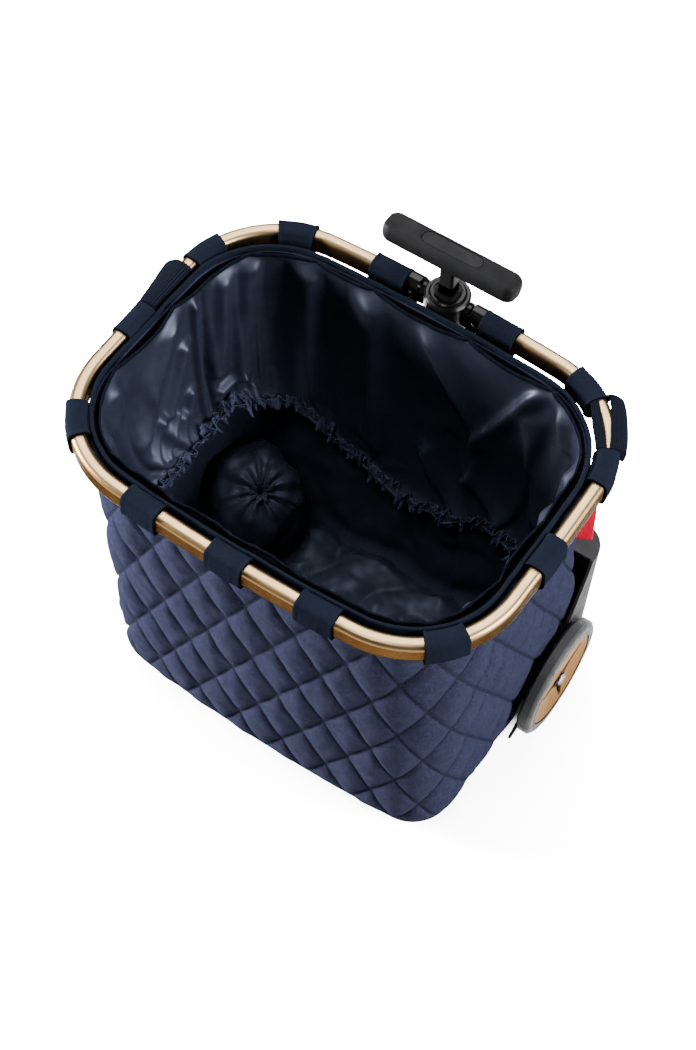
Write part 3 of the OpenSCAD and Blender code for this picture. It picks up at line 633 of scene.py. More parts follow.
def quilted_basket():
    """The padded wall, stitched in diamonds, with its foot and its inner face."""
    columns = DIAMONDS_ROUND * CELLS
    step = DIAMOND_H / CELLS
    first = math.ceil((FOOT_Z + FOOT_ROUND - LATTICE_Z) / step)
    last = math.floor((MOUTH_Z - 0.001 - LATTICE_Z) / step)
    heights = [LATTICE_Z + k * step for k in range(first, last + 1)] + [MOUTH_Z]
    share = np.arange(columns) / columns
    rows, a_all, b_all = zip(*(quilt_row(z, share) for z in heights))
    foot = []
    p, n = wall_ring(FOOT_Z + FOOT_ROUND, share)
    for k in range(FOOT_ROWS, 0, -1):
        t = k / FOOT_ROWS * math.pi / 2
        foot.append(at_height(p - n * (CREASE_IN + FOOT_ROUND * (1 - math.cos(t))),
                              FOOT_Z + FOOT_ROUND * (1 - math.sin(t))))
    inner = [at_height(level(z).grown(-d).at(share * level(z).length)[0], z) for z, d in INNER_WALL]
    points = np.array(foot + list(rows) + inner)
    push_clear(points)
    faces = []
    for a, b, c, d in grid_faces(len(points), columns):
        k = a // columns - FOOT_ROWS
        if not 0 <= k < len(heights) - 2:
            faces.append((a, b, c, d))
        elif crease_between(b_all[k][a % columns]):
            faces += [(a, b, c), (a, c, d)]
        else:
            faces += [(a, b, d), (b, c, d)]
    faces += end_faces(len(points), columns)
    obj = new_object("basket_quilt", points.reshape(-1, 3), faces, QUILT)
    low, high = np.zeros((FOOT_ROWS, columns)), np.zeros((len(INNER_WALL), columns))
    set_lattice(obj, *(np.concatenate([low, count, high]).ravel() for count in (a_all, b_all)), columns)
    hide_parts("bag_shell")


def crease_between(b):
    """Whether the stitched line that rises to the right runs through the mesh cell that starts here."""
    f = b * CELLS
    return abs(f - round(f)) < 0.25 and round(f) % CELLS == 0


def set_lattice(obj, a, b, columns):
    """Writes the quilt's UVs, which count diamonds. The faces at the seam carry on past it."""
    mesh = obj.data
    layer = mesh.uv_layers.new(name="lattice")
    index, face, total = corners(mesh)
    la, lb = a[index].copy(), b[index].copy()
    column = index % columns
    top = np.zeros(len(mesh.polygons), np.int32)
    np.maximum.at(top, face, column)
    past = (top[face] == columns - 1) & (column == 0) & (total < 5)
    la[past] += DIAMONDS_ROUND
    lb[past] += DIAMONDS_ROUND
    layer.data.foreach_set("uv", np.stack([la, lb], -1).ravel())


def push_clear(points):
    """Presses the fabric in where the chassis holds it, in place."""
    shell_low, shell_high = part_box("chassis_shell")
    plate_low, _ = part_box("back_plate")
    gap, near = 0.0004, 0.004
    cheek = shell_high.x - CHEEK_T - gap
    x, y, z = points[..., 0], points[..., 1], points[..., 2]
    by_cheek = (z < shell_high.z + near) & (y > shell_low.y - near)
    points[..., 0] = np.where(by_cheek, np.clip(x, -cheek, cheek), x)
    by_plate = z < plate_low.z + size("back_plate").z + near
    points[..., 1] = np.where(by_plate, np.minimum(y, plate_low.y - gap), y)


# ---------- The rim of the basket ----------

def rounded_bar(w, h, r, n=20):
    """A closed rounded rectangle, w across and h high, as n points."""
    out = []
    for k in range(n):
        t = TAU * (k + 0.5) / n
        c, s = math.cos(t), math.sin(t)
        out.append(((w / 2 - r) * np.sign(c) + r * c, (h / 2 - r) * np.sign(s) + r * s))
    return np.array(out)


def rim_band(name, d, z, w, h, material, wave, seed):
    """A strip of cloth that runs round the mouth: d outward from its outline, z at its middle, w by h."""
    n = 560
    outline = MOUTH.grown(d)
    s = np.arange(n) * outline.length / n
    p, normal = outline.at(s)
    where = at_height(p, z)
    bar = rounded_bar(w, h, min(w, h) * 0.45)
    sway = wobble(where, 0.06, wave * 2, seed) + wobble(where, 0.018, wave, seed + 2)
    rise = wobble(where, 0.05, wave * 1.6, seed + 5) + wobble(where, 0.014, wave * 0.6, seed + 7)
    sections = np.repeat(bar[None], n, 0)
    sections[:, :, 0] += sway[:, None]
    sections[:, :, 1] += z + rise[:, None]
    xy = p[:, None, :] + normal[:, None, :] * sections[:, :, :1]
    obj = skin(name, np.concatenate([xy, sections[:, :, 1:]], -1), material, wrap_rows=True)
    set_uv(obj, np.repeat(s, len(bar)), np.tile(np.arange(len(bar)) * (w + h) * 1.6 / len(bar), n))
    return obj


TACKS = 15           # points round the mouth where the satin is tacked to the rim
SAG_IN = 0.0046
SAG_DOWN = 0.0042
COLLAR_IN = 0.0074   # from the mouth's outline in to the satin
COLLAR_UP = 0.0025   # of the satin's top edge above the mouth


def sag(share):
    """How far the satin sags between its tacks, 0 to 1, round the mouth."""
    phase = TACKS * share + 0.16 * np.sin(TAU * share * 3 + 1.0) + 0.11 * np.sin(TAU * share * 5 + 0.4)
    depth = 0.65 + 0.35 * np.sin(TAU * share * 4 + 2.2)
    return np.abs(np.sin(math.pi * phase)) ** 0.8 * depth


def collar_top(columns):
    """The ring of points where the satin leaves the rim."""
    share = np.arange(columns) / columns
    outline = MOUTH.grown(-COLLAR_IN)
    p, n = outline.at(share * outline.length)
    loose = sag(share)
    fine = wobble(at_height(p, 0), 0.012, 0.0012, 17)
    p = p - n * (SAG_IN * loose + fine)[:, None]
    return at_height(p, MOUTH_Z + COLLAR_UP - SAG_DOWN * loose + fine * 0.8)


def rolled_edge():
    """The satin's folded top edge, which follows its tacks."""
    columns = 700
    ring = collar_top(columns)
    out, _ = outward(ring)
    bar = rounded_bar(0.0020, 0.0044, 0.0009, 12)
    swell = 1 + wobble(ring, 0.009, 0.35, 23)
    points = ring[:, None] + out[:, None] * (bar[:, :1] * swell[:, None, None]) + UP * bar[:, 1:]
    obj = skin("collar_edge", points, EDGE, wrap_rows=True)


def rim_of_basket():
    """The binding over the mouth's edge, the hook tape inside it, and the satin's rolled edge."""
    binding = rim_band("rim_binding_outer", -0.0012, MOUTH_Z - 0.0010, 0.0034, 0.013, NAVY, 0.0006, 1)
    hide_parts("rim_binding")
    tape = rim_band("hook_strip", -0.0050, MOUTH_Z - 0.0105, 0.0024, 0.020, TAPE_AND_GAP_SHADE, 0.0004, 4)
    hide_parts("hook_tape")
    rolled_edge()


# ---------- The satin collar ----------

HEM_FULLNESS = 1.05  # of the cloth at its hem, against the mouth's outline
HANG_SLACK = 1.10    # of the cloth's height, against the straight way down
SATIN_T = 0.0008
HEM_LIFT = 0.048     # of the hem at the left end
HEM_DIP = 0.045      # of the hem at the middle of the back
HEM_EASE = 0.015
COLLAR_GAP = 0.0075  # kept from the wall's outline
FRILL_T = 0.0006
FRILL_H = 0.016
FRILL_WAVE = 0.0105
ELASTIC_AT = 0.42    # the elastic's place in the frill's height, where it crinkles least
# The larger folds: from and to, each as thousandths of the way round and hundredths of the way down, then
# half width and height in tenths of a millimetre
FOLDS = (
    (713, -5, 717, 88, 36, 75), (702, -5, 707, 88, 50, -60), (735, -2, 790, 55, 120, 90),
    (729, 28, 757, 60, 70, 80), (748, 64, 775, 82, 55, 80), (770, 58, 792, 74, 60, 80),
    (742, 72, 758, 95, 55, 70), (728, 62, 742, 90, 50, 70), (676, -2, 693, 66, 100, 85),
    (652, 0, 668, 70, 110, 80), (694, 80, 668, 73, 50, 75), (684, 93, 656, 86, 50, 75),
    (632, 0, 642, 90, 120, -70), (608, 0, 616, 86, 130, 100), (578, 2, 588, 85, 130, -80),
    (552, 0, 544, 75, 170, 110), (500, 2, 440, 38, 105, 105), (395, 2, 437, 42, 75, 90),
    (434, 44, 441, 64, 75, 85), (441, 64, 396, 92, 80, 90), (488, 62, 444, 98, 85, 95),
    (470, 52, 462, 92, 100, -60), (398, 20, 372, 66, 120, 85), (380, -2, 360, 16, 60, 70),
    (350, 4, 345, 80, 120, -70), (318, 0, 322, 90, 120, 90), (280, 0, 290, 80, 130, 80),
    (235, 10, 225, 90, 120, 80), (180, 0, 190, 90, 120, 80), (120, 5, 110, 85, 130, 80),
    (50, 0, 60, 90, 120, 80), (980, 5, 970, 85, 130, 80), (920, 0, 925, 90, 120, 80),
    (860, 5, 850, 85, 120, 80), (815, 0, 825, 80, 110, 80),
)


def hem_rise(x, y):
    """The hem rides up at the left end and dips at the middle of the back, as in the CAD source."""
    y = y - CENTRE_Y
    return HEM_LIFT / (1 + np.exp((x + 0.125) / HEM_EASE)) \
        - HEM_DIP * np.exp(-((x - 0.005) / 0.075) ** 2) / (1 + np.exp((0.040 - y) / HEM_EASE))


def hem_ring(columns):
    """The ring of points of the collar's gathered hem."""
    p, n = HEM.at(np.arange(columns) / columns * HEM.length)
    z = HEM_FRONT_Z + 0.006 + hem_rise(p[:, 0], p[:, 1])
    where = at_height(p, z)
    sway = wobble(where, 0.06, 0.011, 12) + wobble(where, 0.022, 0.004, 14)
    return at_height(p + n * sway[:, None], z + wobble(where, 0.05, 0.010, 15))


def fold_height(share, down, around, drop):
    """How far the larger folds stand in towards the basket's middle."""
    out = np.zeros(np.broadcast(share, down).shape)
    for fold in FOLDS:
        s0, t0, s1, t1, wide, high = np.array(fold) / (1000, 100, 1000, 100, 10000, 10000)
        run = np.array([(s1 - s0) * around, (t1 - t0) * drop])
        x, y = (share - s0) * around, (down - t0) * drop
        along = np.clip((x * run[0] + y * run[1]) / (run @ run), 0, 1)
        off = np.hypot(x - along * run[0], y - along * run[1])
        out += high * np.exp(-(off / wide) ** 2)
    return out * smooth_step(down / 0.07)


def finer(grid):
    """Doubles a grid's columns and rows, and smooths it. The columns close on themselves."""
    between = (grid + np.roll(grid, -1, 1)) / 2
    grid = np.stack([grid, between], 2).reshape(len(grid), -1, 3)
    out = np.zeros((2 * len(grid) - 1, grid.shape[1], 3))
    out[::2], out[1::2] = grid, (grid[1:] + grid[:-1]) / 2
    for _ in range(2):
        out = (np.roll(out, 1, 1) + 2 * out + np.roll(out, -1, 1)) / 4
        out[1:-1] = (out[:-2] + 2 * out[1:-1] + out[2:]) / 4
    return out


def satin_collar():
    """Simulates the collar from its flat size, adds the larger folds, and returns its hem's points."""
    columns, rows = ((300, 66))
    share = np.arange(columns) / columns
    top = collar_top(columns)
    hem = hem_ring(columns)
    hang = np.linalg.norm(top - hem, axis=1) * HANG_SLACK + 0.004
    outline = MOUTH.grown(-COLLAR_IN - SAG_IN * 0.6)
    smooth_top, _ = outline.at(share * outline.length)
    centre = np.array([0, MOUTH_Y])
    flat, cone = [], []
    for i in range(rows):
        t = i / (rows - 1)
        wide = 1 + (HEM_FULLNESS - 1) * t
        flat.append(at_height(centre + (smooth_top - centre) * wide, top[:, 2] - hang * t))
        ring = top * (1 - t) + hem * t
        where = at_height(smooth_top, 0.12 * t)
        swell = wobble(where, 0.045, 0.016, 20) + wobble(where, 0.02, 0.006, 22)
        ring[:, :2] += toward(centre, ring) * (swell * math.sin(math.pi * t) ** 0.7)[:, None]
        cone.append(ring)
    cone[0], cone[-1] = top, hem
    cloth = skin("satin_cloth", flat, SATIN)
    points = finer(draw_in(cloth, np.array(cone), rows, columns).reshape(rows, columns, 3))
    bpy.data.objects.remove(cloth)
    rows, columns = points.shape[:2]
    drop = float(hang.mean())
    folds = fold_height(np.arange(columns)[None] / columns, np.linspace(0, 1, rows)[:, None],
                        outline.length, drop)
    points[..., :2] += toward(centre, points) * folds[..., None]
    keep_inside(points, COLLAR_GAP)
    points[0] = collar_top(columns)
    obj = skin("satin_collar", points, SATIN)
    modifier(obj, "SOLIDIFY", thickness=SATIN_T, offset=0)
    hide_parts("closure_collar")
    return points[-1]


def draw_in(obj, goal, rows, columns):
    """Lets the cloth go from its flat size to the gathered rings at its top and hem, under gravity."""
    pin = obj.vertex_groups.new(name="pin")
    pin.add(list(range(columns)) + list(range((rows - 1) * columns, rows * columns)), 1.0, "REPLACE")
    obj.shape_key_add(name="Basis")
    key = obj.shape_key_add(name="gathered")
    key.data.foreach_set("co", goal.ravel())
    frames, pull = ((56, 20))
    key.value = 0.0
    key.keyframe_insert("value", frame=1)
    key.value = 1.0
    key.keyframe_insert("value", frame=pull)
    cloth = modifier(obj, "CLOTH")
    c = cloth.settings
    c.quality = 6
    c.mass = 0.15
    c.tension_stiffness = c.compression_stiffness = 15
    c.shear_stiffness = 5
    c.bending_stiffness = 0.35
    c.air_damping = 1.5
    c.vertex_group_mass = "pin"
    c.rest_shape_key = obj.data.shape_keys.key_blocks["Basis"]
    cloth.collision_settings.use_collision = False
    cloth.collision_settings.use_self_collision = False
    cloth.point_cache.frame_start, cloth.point_cache.frame_end = 1, frames
    scene = bpy.context.scene
    for f in range(1, frames + 1):
        scene.frame_set(f)
    shown = obj.evaluated_get(bpy.context.evaluated_depsgraph_get()).to_mesh()
    points = np.zeros(len(shown.vertices) * 3)
    shown.vertices.foreach_get("co", points)
    obj.modifiers.clear()
    obj.data.shape_keys.animation_data_clear()
    obj.shape_key_clear()
    scene.frame_set(1)
    return points


def keep_inside(points, gap):
    """Moves points that went through the basket's wall back inside it, in place."""
    flat = points.reshape(-1, 3)
    steps = 24  # the wall's heights that are looked at
    height = (np.clip(flat[:, 2], FOOT_Z, MOUTH_Z) - FOOT_Z) / (MOUTH_Z - FOOT_Z)
    band = np.round(height * steps).astype(int)
    for k in range(steps + 1):
        mine = band == k
        outline = level(FOOT_Z + (MOUTH_Z - FOOT_Z) * k / steps).grown(-gap)
        for _ in range(2):
            over = np.maximum(outline.outside(flat[mine, 0], flat[mine, 1]), 0)
            inward = np.array([0, CENTRE_Y]) - flat[mine, :2]
            inward /= np.maximum(np.linalg.norm(inward, axis=1, keepdims=True), 1e-6)
            flat[mine, :2] += inward * over[:, None]


def frill(ring):
    """A band of cloth crinkled on an elastic, along the collar's hem."""
    columns, rows = 1500, 11
    line = smooth_line(ring, columns, closed=True)
    out, tangent = outward(line)
    radius = np.linalg.norm(tangent, axis=1).sum() / 2 / TAU
    turn = np.arange(columns) / columns * TAU
    circle = at_height(np.column_stack([np.cos(turn), np.sin(turn)]), 0) * radius
    loose = 1 + wobble(circle, 0.030, 0.9, 3)
    reach = 1 + wobble(circle, 0.016, 0.5, 6)
    grid = []
    for i in range(rows):
        v = i / (rows - 1)
        where = circle + UP * 0.0045 * v
        crinkle = wobble(where, 0.0052, 1.0) + wobble(where, 0.0028, 0.25, 9)
        lift = wobble(where, 0.0060, 1.0, 12)
        free = (0.55 + 1.7 * abs(v - ELASTIC_AT)) * loose * FRILL_WAVE
        z = (0.5 - v) * FRILL_H * reach + lift * free * 0.30
        grid.append(line + out * (crinkle * free)[:, None] + UP * z[:, None])
    obj = skin("collar_frill", grid, FRILL)
    modifier(obj, "SOLIDIFY", thickness=FRILL_T, offset=0)
    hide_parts("collar_hem")


# ---------- Inside the basket ----------

LINING_IN = 0.0056    # from the wall's outline in to the lining
LINING_DOWN = 0.03    # from the mouth down to the lining's seam
FLOOR_UP = 0.009      # from the basket's foot up to the lining's floor


def lining():
    """The satin lining of the walls, and its loose floor."""
    columns, rows, rings = 240, 40, 40
    share = np.arange(columns) / columns
    top = MOUTH_Z - LINING_DOWN
    low = FOOT_Z + FLOOR_UP
    points = []
    for i in range(rows):
        z = top + (low - top) * i / (rows - 1)
        outline = level(z).grown(-LINING_IN)
        p, n = outline.at(share * outline.length)
        where = at_height(p, z * 0.6)
        sway = np.abs(wobble(where, 0.05, 0.016, 31)) + np.abs(wobble(where, 0.02, 0.005, 33))
        near_floor = max(0.0, 1 - (z - low) / 0.012)
        loose = smooth_step((HEM_FRONT_Z + 0.03 - z) / 0.05)
        points.append(at_height(p - n * (sway * loose + 0.010 * near_floor ** 2)[:, None], z))
    wall = skin("lining_walls", points, SATIN)
    modifier(wall, "SUBSURF", levels=1, render_levels=1)
    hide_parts("lining", "base_board")
    floor_points = []
    centre = np.array([0, CENTRE_Y + 0.005])
    for i in range(rings):
        t = 1 - i / rings
        p = centre + (points[-1][:, :2] - centre) * t
        where = at_height(p, 0)
        ridges = 0.020 * np.power(np.abs(wobble(where, 0.055, 1.0, 41)), 0.8) \
            + 0.005 * np.abs(wobble(where, 0.018, 1.0, 43))
        floor_points.append(at_height(p, low + 0.0035 + np.minimum(1, (1 - t) * 8) * ridges))
    floor = skin("lining_floor", floor_points, SATIN, ends=(1,))


KNOT_WAY = Vector((0.42, -0.40, 0.81)).normalized()
POUCH = Vector((0.046, 0.047, 0.070))  # its reach from its middle
POUCH_Z = 0.104
POUCH_GAP = 0.0095
POUCH_T = 0.0007
NECK_R = 0.0030
TUFT_R = 0.0085
TUFT_H = 0.0090


def side_pocket():
    """A pouch of satin slumped against the left wall, its mouth drawn together in a knot."""
    low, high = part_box("side_pocket")
    centre = Vector(((low.x + high.x) / 2, (low.y + high.y) / 2, POUCH_Z))
    side = KNOT_WAY.cross(Vector((0, 0, 1))).normalized()
    over = side.cross(KNOT_WAY)
    way, side, over, reach = (np.array(v) for v in (KNOT_WAY, side, over, POUCH))
    columns, tuft_rows, rows = 240, 7, 90
    angle = np.arange(columns) / columns * TAU
    pleats = np.sin(angle * 9 + 1.4 * np.sin(angle * 2)) + 0.5 * np.sin(angle * 17 + 2 * np.sin(angle * 3))
    across = side[None] * np.cos(angle)[:, None] + over[None] * np.sin(angle)[:, None]
    neck = np.array(centre) + way * reach * 0.80
    points = []
    for i in range(tuft_rows):
        t = 1 - i / tuft_rows
        radius = NECK_R + (TUFT_R - NECK_R) * t ** 1.5 * (1 + 0.30 * pleats)
        points.append(neck + way * (TUFT_H * t + 0.0025 * pleats[:, None] * t) + across * radius[:, None])
    for i in range(rows):
        polar = math.pi * (0.022 + 0.90 * i / (rows - 1))
        folds = pleats * (0.022 * math.exp(-((polar - 0.30) / 0.25) ** 2)
                          + 0.016 * math.exp(-((polar - 0.7) / 0.4) ** 2))
        dimple = -0.22 * math.exp(-(polar / 0.30) ** 2)
        seam = -0.045 * np.exp(-((angle - 3.6) / 0.035) ** 2) * smooth_step((polar - 0.5) / 0.4)
        way_out = way[None] * math.cos(polar) + across * math.sin(polar)
        soft = wobble(way_out, 0.55, 0.13, 51) + wobble(way_out, 0.24, 0.035, 53)
        points.append(np.array(centre) + way_out * reach * (1 + folds + dimple + seam + soft)[:, None])
    points = np.array(points)
    keep_inside(points, POUCH_GAP)
    points[..., 2] = np.maximum(points[..., 2], FOOT_Z + 0.014)
    obj = skin("satin_pocket", points, SATIN)
    modifier(obj, "SOLIDIFY", thickness=POUCH_T, offset=0)
    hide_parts("side_pocket")


# ---------- Loops that lace the basket to the tube ----------

def place_of(node):
    """How far along the rim a node's middle is."""
    s = np.linspace(0, RIM.length, 4001)
    p, _ = RIM.at(s)
    m = middle(node)
    return float(s[np.argmin(np.hypot(p[:, 0] - m.x, p[:, 1] - m.y))])


LOOPS = 13
LOOP_POINTS = 56     # of the mesh, on the way round the tube
LOOP_HALF = 0.0172   # half a loop's width along the rim
LOOP_T = 0.0026
LOOP_HEM = 0.0005    # how much thicker a loop is at its sides
LOOP_STITCH = 0.0004  # how deep its seam is
LOOP_ROUND = 0.075   # the cloth's way round the tube, for its weave


def loop_path(slack):
    """The cloth's way round the tube, from the wall and back, as (outward, up) from the tube's middle."""
    w, h = TUBE_T / 2 + 0.0022, TUBE_H / 2 + 0.0022
    return smooth_line([
        (-0.0128, 0.0010), (-0.0122, 0.0060), (-w - 0.0012, 0.0092), (-w * 0.74, h - 0.0004),
        (0.0, h + 0.0002), (w * 0.70, h - 0.0010), (w - 0.0003, h * 0.60), (w + slack, 0.0),
        (w + slack, -h * 0.60), (w * 0.66, -h + 0.0006 - slack), (-w * 0.45, -h),
        (-w - 0.0008, -h * 0.70), (-0.0120, -0.0050), (-0.0130, -0.0015)], LOOP_POINTS)


def frame_loop(k):
    """One loop of cloth round the tube, with a thicker hem at each side, and its inner face and cut edges
    drawn in the black tape as painted shade in the gap at the tube.
    """
    name = f"frame_loop_{k:02d}"
    s0 = place_of(name)
    cells, n = 26, LOOP_POINTS
    points = []
    for i in range(cells + 1):
        t = i / cells * 2 - 1
        path = loop_path(0.0006 * (1 - t * t) + 0.0004 * random.random())
        hem = LOOP_HEM * max(0.0, 1 - (1 - abs(t)) / 0.22) ** 0.5
        stitch = -LOOP_STITCH * math.exp(-((abs(t) - 0.80) / 0.03) ** 2)
        away = path / np.maximum(np.linalg.norm(path, axis=1, keepdims=True), 1e-6)
        path = path + away * (hem + stitch)
        p, normal = RIM.at(s0 + t * LOOP_HALF * (1 + 0.02 * math.sin(k * 2.1)))
        path = path + away * wobble(at_height(path * 40, t * 0.6), 0.5, 0.00035, k * 3.3)[:, None]
        points.append(at_height(p + normal * path[:, :1], RIM_Z + path[:, 1]))
    obj = skin(f"loop_{k:02d}", points, NAVY, wrap_columns=False)
    set_uv(obj, np.repeat(np.linspace(0, 2 * LOOP_HALF, cells + 1), n),
           np.tile(np.linspace(0, LOOP_ROUND, n), cells + 1))
    # painted shade: the black tape on the loop's inner face and cut edges stands in for the shadow between
    # loop and tube
    obj.data.materials.append(TAPE_AND_GAP_SHADE)
    modifier(obj, "SOLIDIFY", thickness=LOOP_T, offset=-1, material_offset=1, material_offset_rim=1)
    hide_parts(name)


# ---------- Webbing straps ----------

LEFT_STRAP_T = 0.0022
RIGHT_STRAP_T = 0.0020


def webbing(name, edges, thick, ribs, round_end=0.12):
    """Ribbed webbing. edges is (inner, middle, outer): three curves along it, each a list of points."""
    n = 90
    inner, mid, outer = (smooth_line(e, n) for e in edges)
    w = np.linspace(-1, 1, ribs * 6 + 1)
    a, b, c = (x[None, :, None] for x in (w * (w - 1) / 2, 1 - w * w, w * (w + 1) / 2))
    face_points = inner[:, None] * a + mid[:, None] * b + outer[:, None] * c
    normal = np.cross(np.gradient(face_points, axis=0), np.gradient(face_points, axis=1))
    normal /= np.maximum(np.linalg.norm(normal, axis=2, keepdims=True), 1e-9)
    wave = 0.62 + 0.38 * np.abs(np.sin((w + 1) * ribs / 2 * math.pi)) ** 0.7
    edge = np.sqrt(np.clip(1 - np.abs(w) ** 16, 0, 1))
    t = np.linspace(-1, 1, n)
    end = np.sqrt(np.clip(1 - np.abs(t) ** (2 / round_end), 0, 1)) * 0.85 + 0.15
    height = (thick / 2 * (wave * edge)[None] * end[:, None])[..., None]
    top, low = face_points + normal * height, face_points - normal * height
    ring = np.concatenate([top, low[:, ::-1][:, 1:-1]], axis=1)
    count = ring.shape[1]
    obj = skin(name, ring, WEBBING, ends=(0, 1))
    across = np.concatenate([w, w[::-1][1:-1]]) * ribs / 2 * RIB
    length = np.linalg.norm(np.diff(mid, axis=0), axis=1).sum()
    set_uv(obj, np.repeat(np.linspace(0, length, n), count), np.tile(across, n))
    return obj


def rim_point(s, out, up):
    p, n = RIM.at(s)
    return np.array([*(p + n * out), RIM_Z + up])


def on_rim(s, keys):
    """Turns keys of (along, outward, up), in millimetres from the tube's middle, into points."""
    return [rim_point(s + a / 1000, o / 1000, u / 1000) for a, o, u in keys]


def left_strap():
    """Lies over the tube, and fans out towards its rear end."""
    s = place_of("carry_strap_left")
    inner = [(24.6, -8, 8), (24, -8.4, 11.6), (10, -8.6, 12.2), (-10, -8.6, 12.2), (-24.5, -8.4, 11.8),
             (-25.6, -8, 8)]
    mid = [(25.2, 1, 13), (24.2, 1.4, 14.2), (10, 2, 14.6), (-10, 3.2, 15), (-24, 4.2, 15), (-25.8, 4.2, 13)]
    outer = [(24.4, 8.8, 5), (23.6, 9.4, 5.8), (10, 11.4, 6.6), (-8, 14.2, 7.4), (-20, 15.6, 8),
             (-24.4, 12.4, 8.4)]
    strap = webbing("strap_left", [on_rim(s, e) for e in (inner, mid, outer)], LEFT_STRAP_T, 11)
    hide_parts("carry_strap_left")


def right_strap():
    """A ring of webbing that stands open over the tube, in four runs: each its ribs, its rounding at the
    ends, and its inner, middle and outer edge."""
    s = place_of("carry_strap_right")
    runs = {
        "inner": (7, 0.02, (
            ((-25.6, -11.6, 8.4), (-14, -13.2, 9.6), (-2, -14, 10.4), (12, -12.4, 10.6), (25, -9, 10.6)),
            ((-25.6, -7.2, 12.2), (-14, -9.4, 13.2), (-2, -10, 13.6), (12, -8.6, 13.4), (25, -5.4, 12.8)),
            ((-25.6, -2.8, 12.6), (-14, -5.2, 13.2), (-2, -6, 13.4), (12, -4.6, 13.2), (24, -1.8, 12.8)))),
        "outer": (10, 0.02, (
            ((-25.6, -1, 12.4), (-13, -0.4, 12.8), (-3, 0.6, 12.8), (10, 3.6, 12.4), (25, 8.6, 11)),
            ((-25.6, 6.8, 13.4), (-13, 7.4, 13.6), (-2, 8.2, 13.2), (11, 11.2, 12.4), (24, 15.2, 9.6)),
            ((-25.6, 13.4, 9.6), (-13, 14.2, 10), (0, 15.4, 9.6), (11, 17.8, 8.2), (22, 20.6, 4.6)))),
        "front": (9, 0.10, (
            ((-24.8, -11.4, 9.2), (-25, -4, 12.8), (-25, 4, 13.4), (-25, 10, 12.4), (-24.8, 13.6, 9.6)),
            ((-26.4, -10.4, 5.4), (-27, -4, 11.2), (-27.2, 4, 11.2), (-26.8, 10, 7), (-26.2, 13.2, 4.6)),
            ((-26.2, -9, 0), (-27, -4, 9.8), (-27.2, 4, 9.6), (-26.6, 9.4, 1), (-26, 12, -1)))),
        "rear": (6, 0.10, (
            ((25.6, -8.6, 10.4), (26.4, -3, 12.8), (26.6, 5, 12.8), (26, 13, 10.6), (23.6, 20.2, 5.6)),
            ((26.6, -8, 6.4), (27.6, -3, 8.2), (27.8, 5, 8), (27, 13, 5.8), (24.4, 19.8, 1.4)),
            ((26, -7.6, 3), (27, -3, 4.2), (27.2, 5, 3.8), (26.4, 13, 1.6), (23.8, 19.4, -2.6)))),
    }
    for word, (ribs, round_end, edges) in runs.items():
        run = webbing(f"strap_right_{word}", [on_rim(s, e) for e in edges], RIGHT_STRAP_T, ribs, round_end)
        if word == "inner":
            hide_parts("carry_strap_right")


TAB_W = 0.013
TAB_T = 0.0011


def red_tab():
    """A plain folded tab, sewn to the basket's right side."""
    low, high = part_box("side_tab")
    n, m = 12, 24
    points = np.zeros((n + 1, m + 1, 3))
    for i in range(n + 1):
        for j in range(m + 1):
            u, v = i / n, j / m
            z = high.z + (low.z - high.z) * v
            outline = level(z)
            p, normal = outline.at(place_at(outline, low.y))
            reach = (0.0095 + 0.0045 * v) * u
            curl = 0.0016 * math.sin(u * 2.6 + v * 2) * (0.4 + v)
            y = low.y + 0.001 + (high.y - low.y) * u
            points[i, j] = p[0] + 0.0004 + normal[0] * reach, y + normal[1] * reach + curl, z - 0.0015 * u
    obj = skin("tab_red", points, RED, wrap_columns=False)
    width, height = TAB_W, high.z - low.z
    set_uv(obj, np.repeat(np.linspace(0, width, n + 1), m + 1),
           np.tile(np.linspace(0, height, m + 1), n + 1))
    modifier(obj, "SOLIDIFY", thickness=TAB_T, offset=0)
    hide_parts("side_tab")


def place_at(outline, y):
    """How far along an outline its right side reaches a given y."""
    s = np.linspace(0, outline.length / 2, 801)
    p, _ = outline.at(s)
    right = p[:, 0] > 0.1
    return float(s[right][np.argmin(np.abs(p[right, 1] - y))])


# ---------- The T-bar ----------

# Half of the bar's section, from its middle below to its flat top, as shares of its half width and height
GRIP_HALF = ((0, 0), (0.50, 0.0), (0.80, 0.08), (0.97, 0.26), (1.0, 0.44), (0.97, 0.66), (0.86, 0.86),
             (0.74, 0.96), (0.62, 1.0), (0.30, 1.0))
GRIP_END = 0.0105        # how far from its ends the bar is drawn in
SEAT = (0.0294, 0.0069)  # half length and half width of the button's seat
SEAT_DEEP = 0.003        # below the button's top


def grip_section(k):
    """The bar's section as (across, up), with soft shoulders and a flat top. k draws it in at the ends."""
    side, top = size("grip_upper").y / 2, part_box("grip_upper")[1].z
    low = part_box("grip_lower")[0].z
    tall = top - low
    right = [(a * side, low + b * tall) for a, b in GRIP_HALF]
    left = [(-a, z) for a, z in right[:0:-1]]
    loop = smooth_line(right + left, 72, closed=True)
    mid = low + tall * 0.45
    loop[:, 0] *= k
    loop[:, 1] = mid + (loop[:, 1] - mid) * (0.35 + 0.65 * k)
    return loop


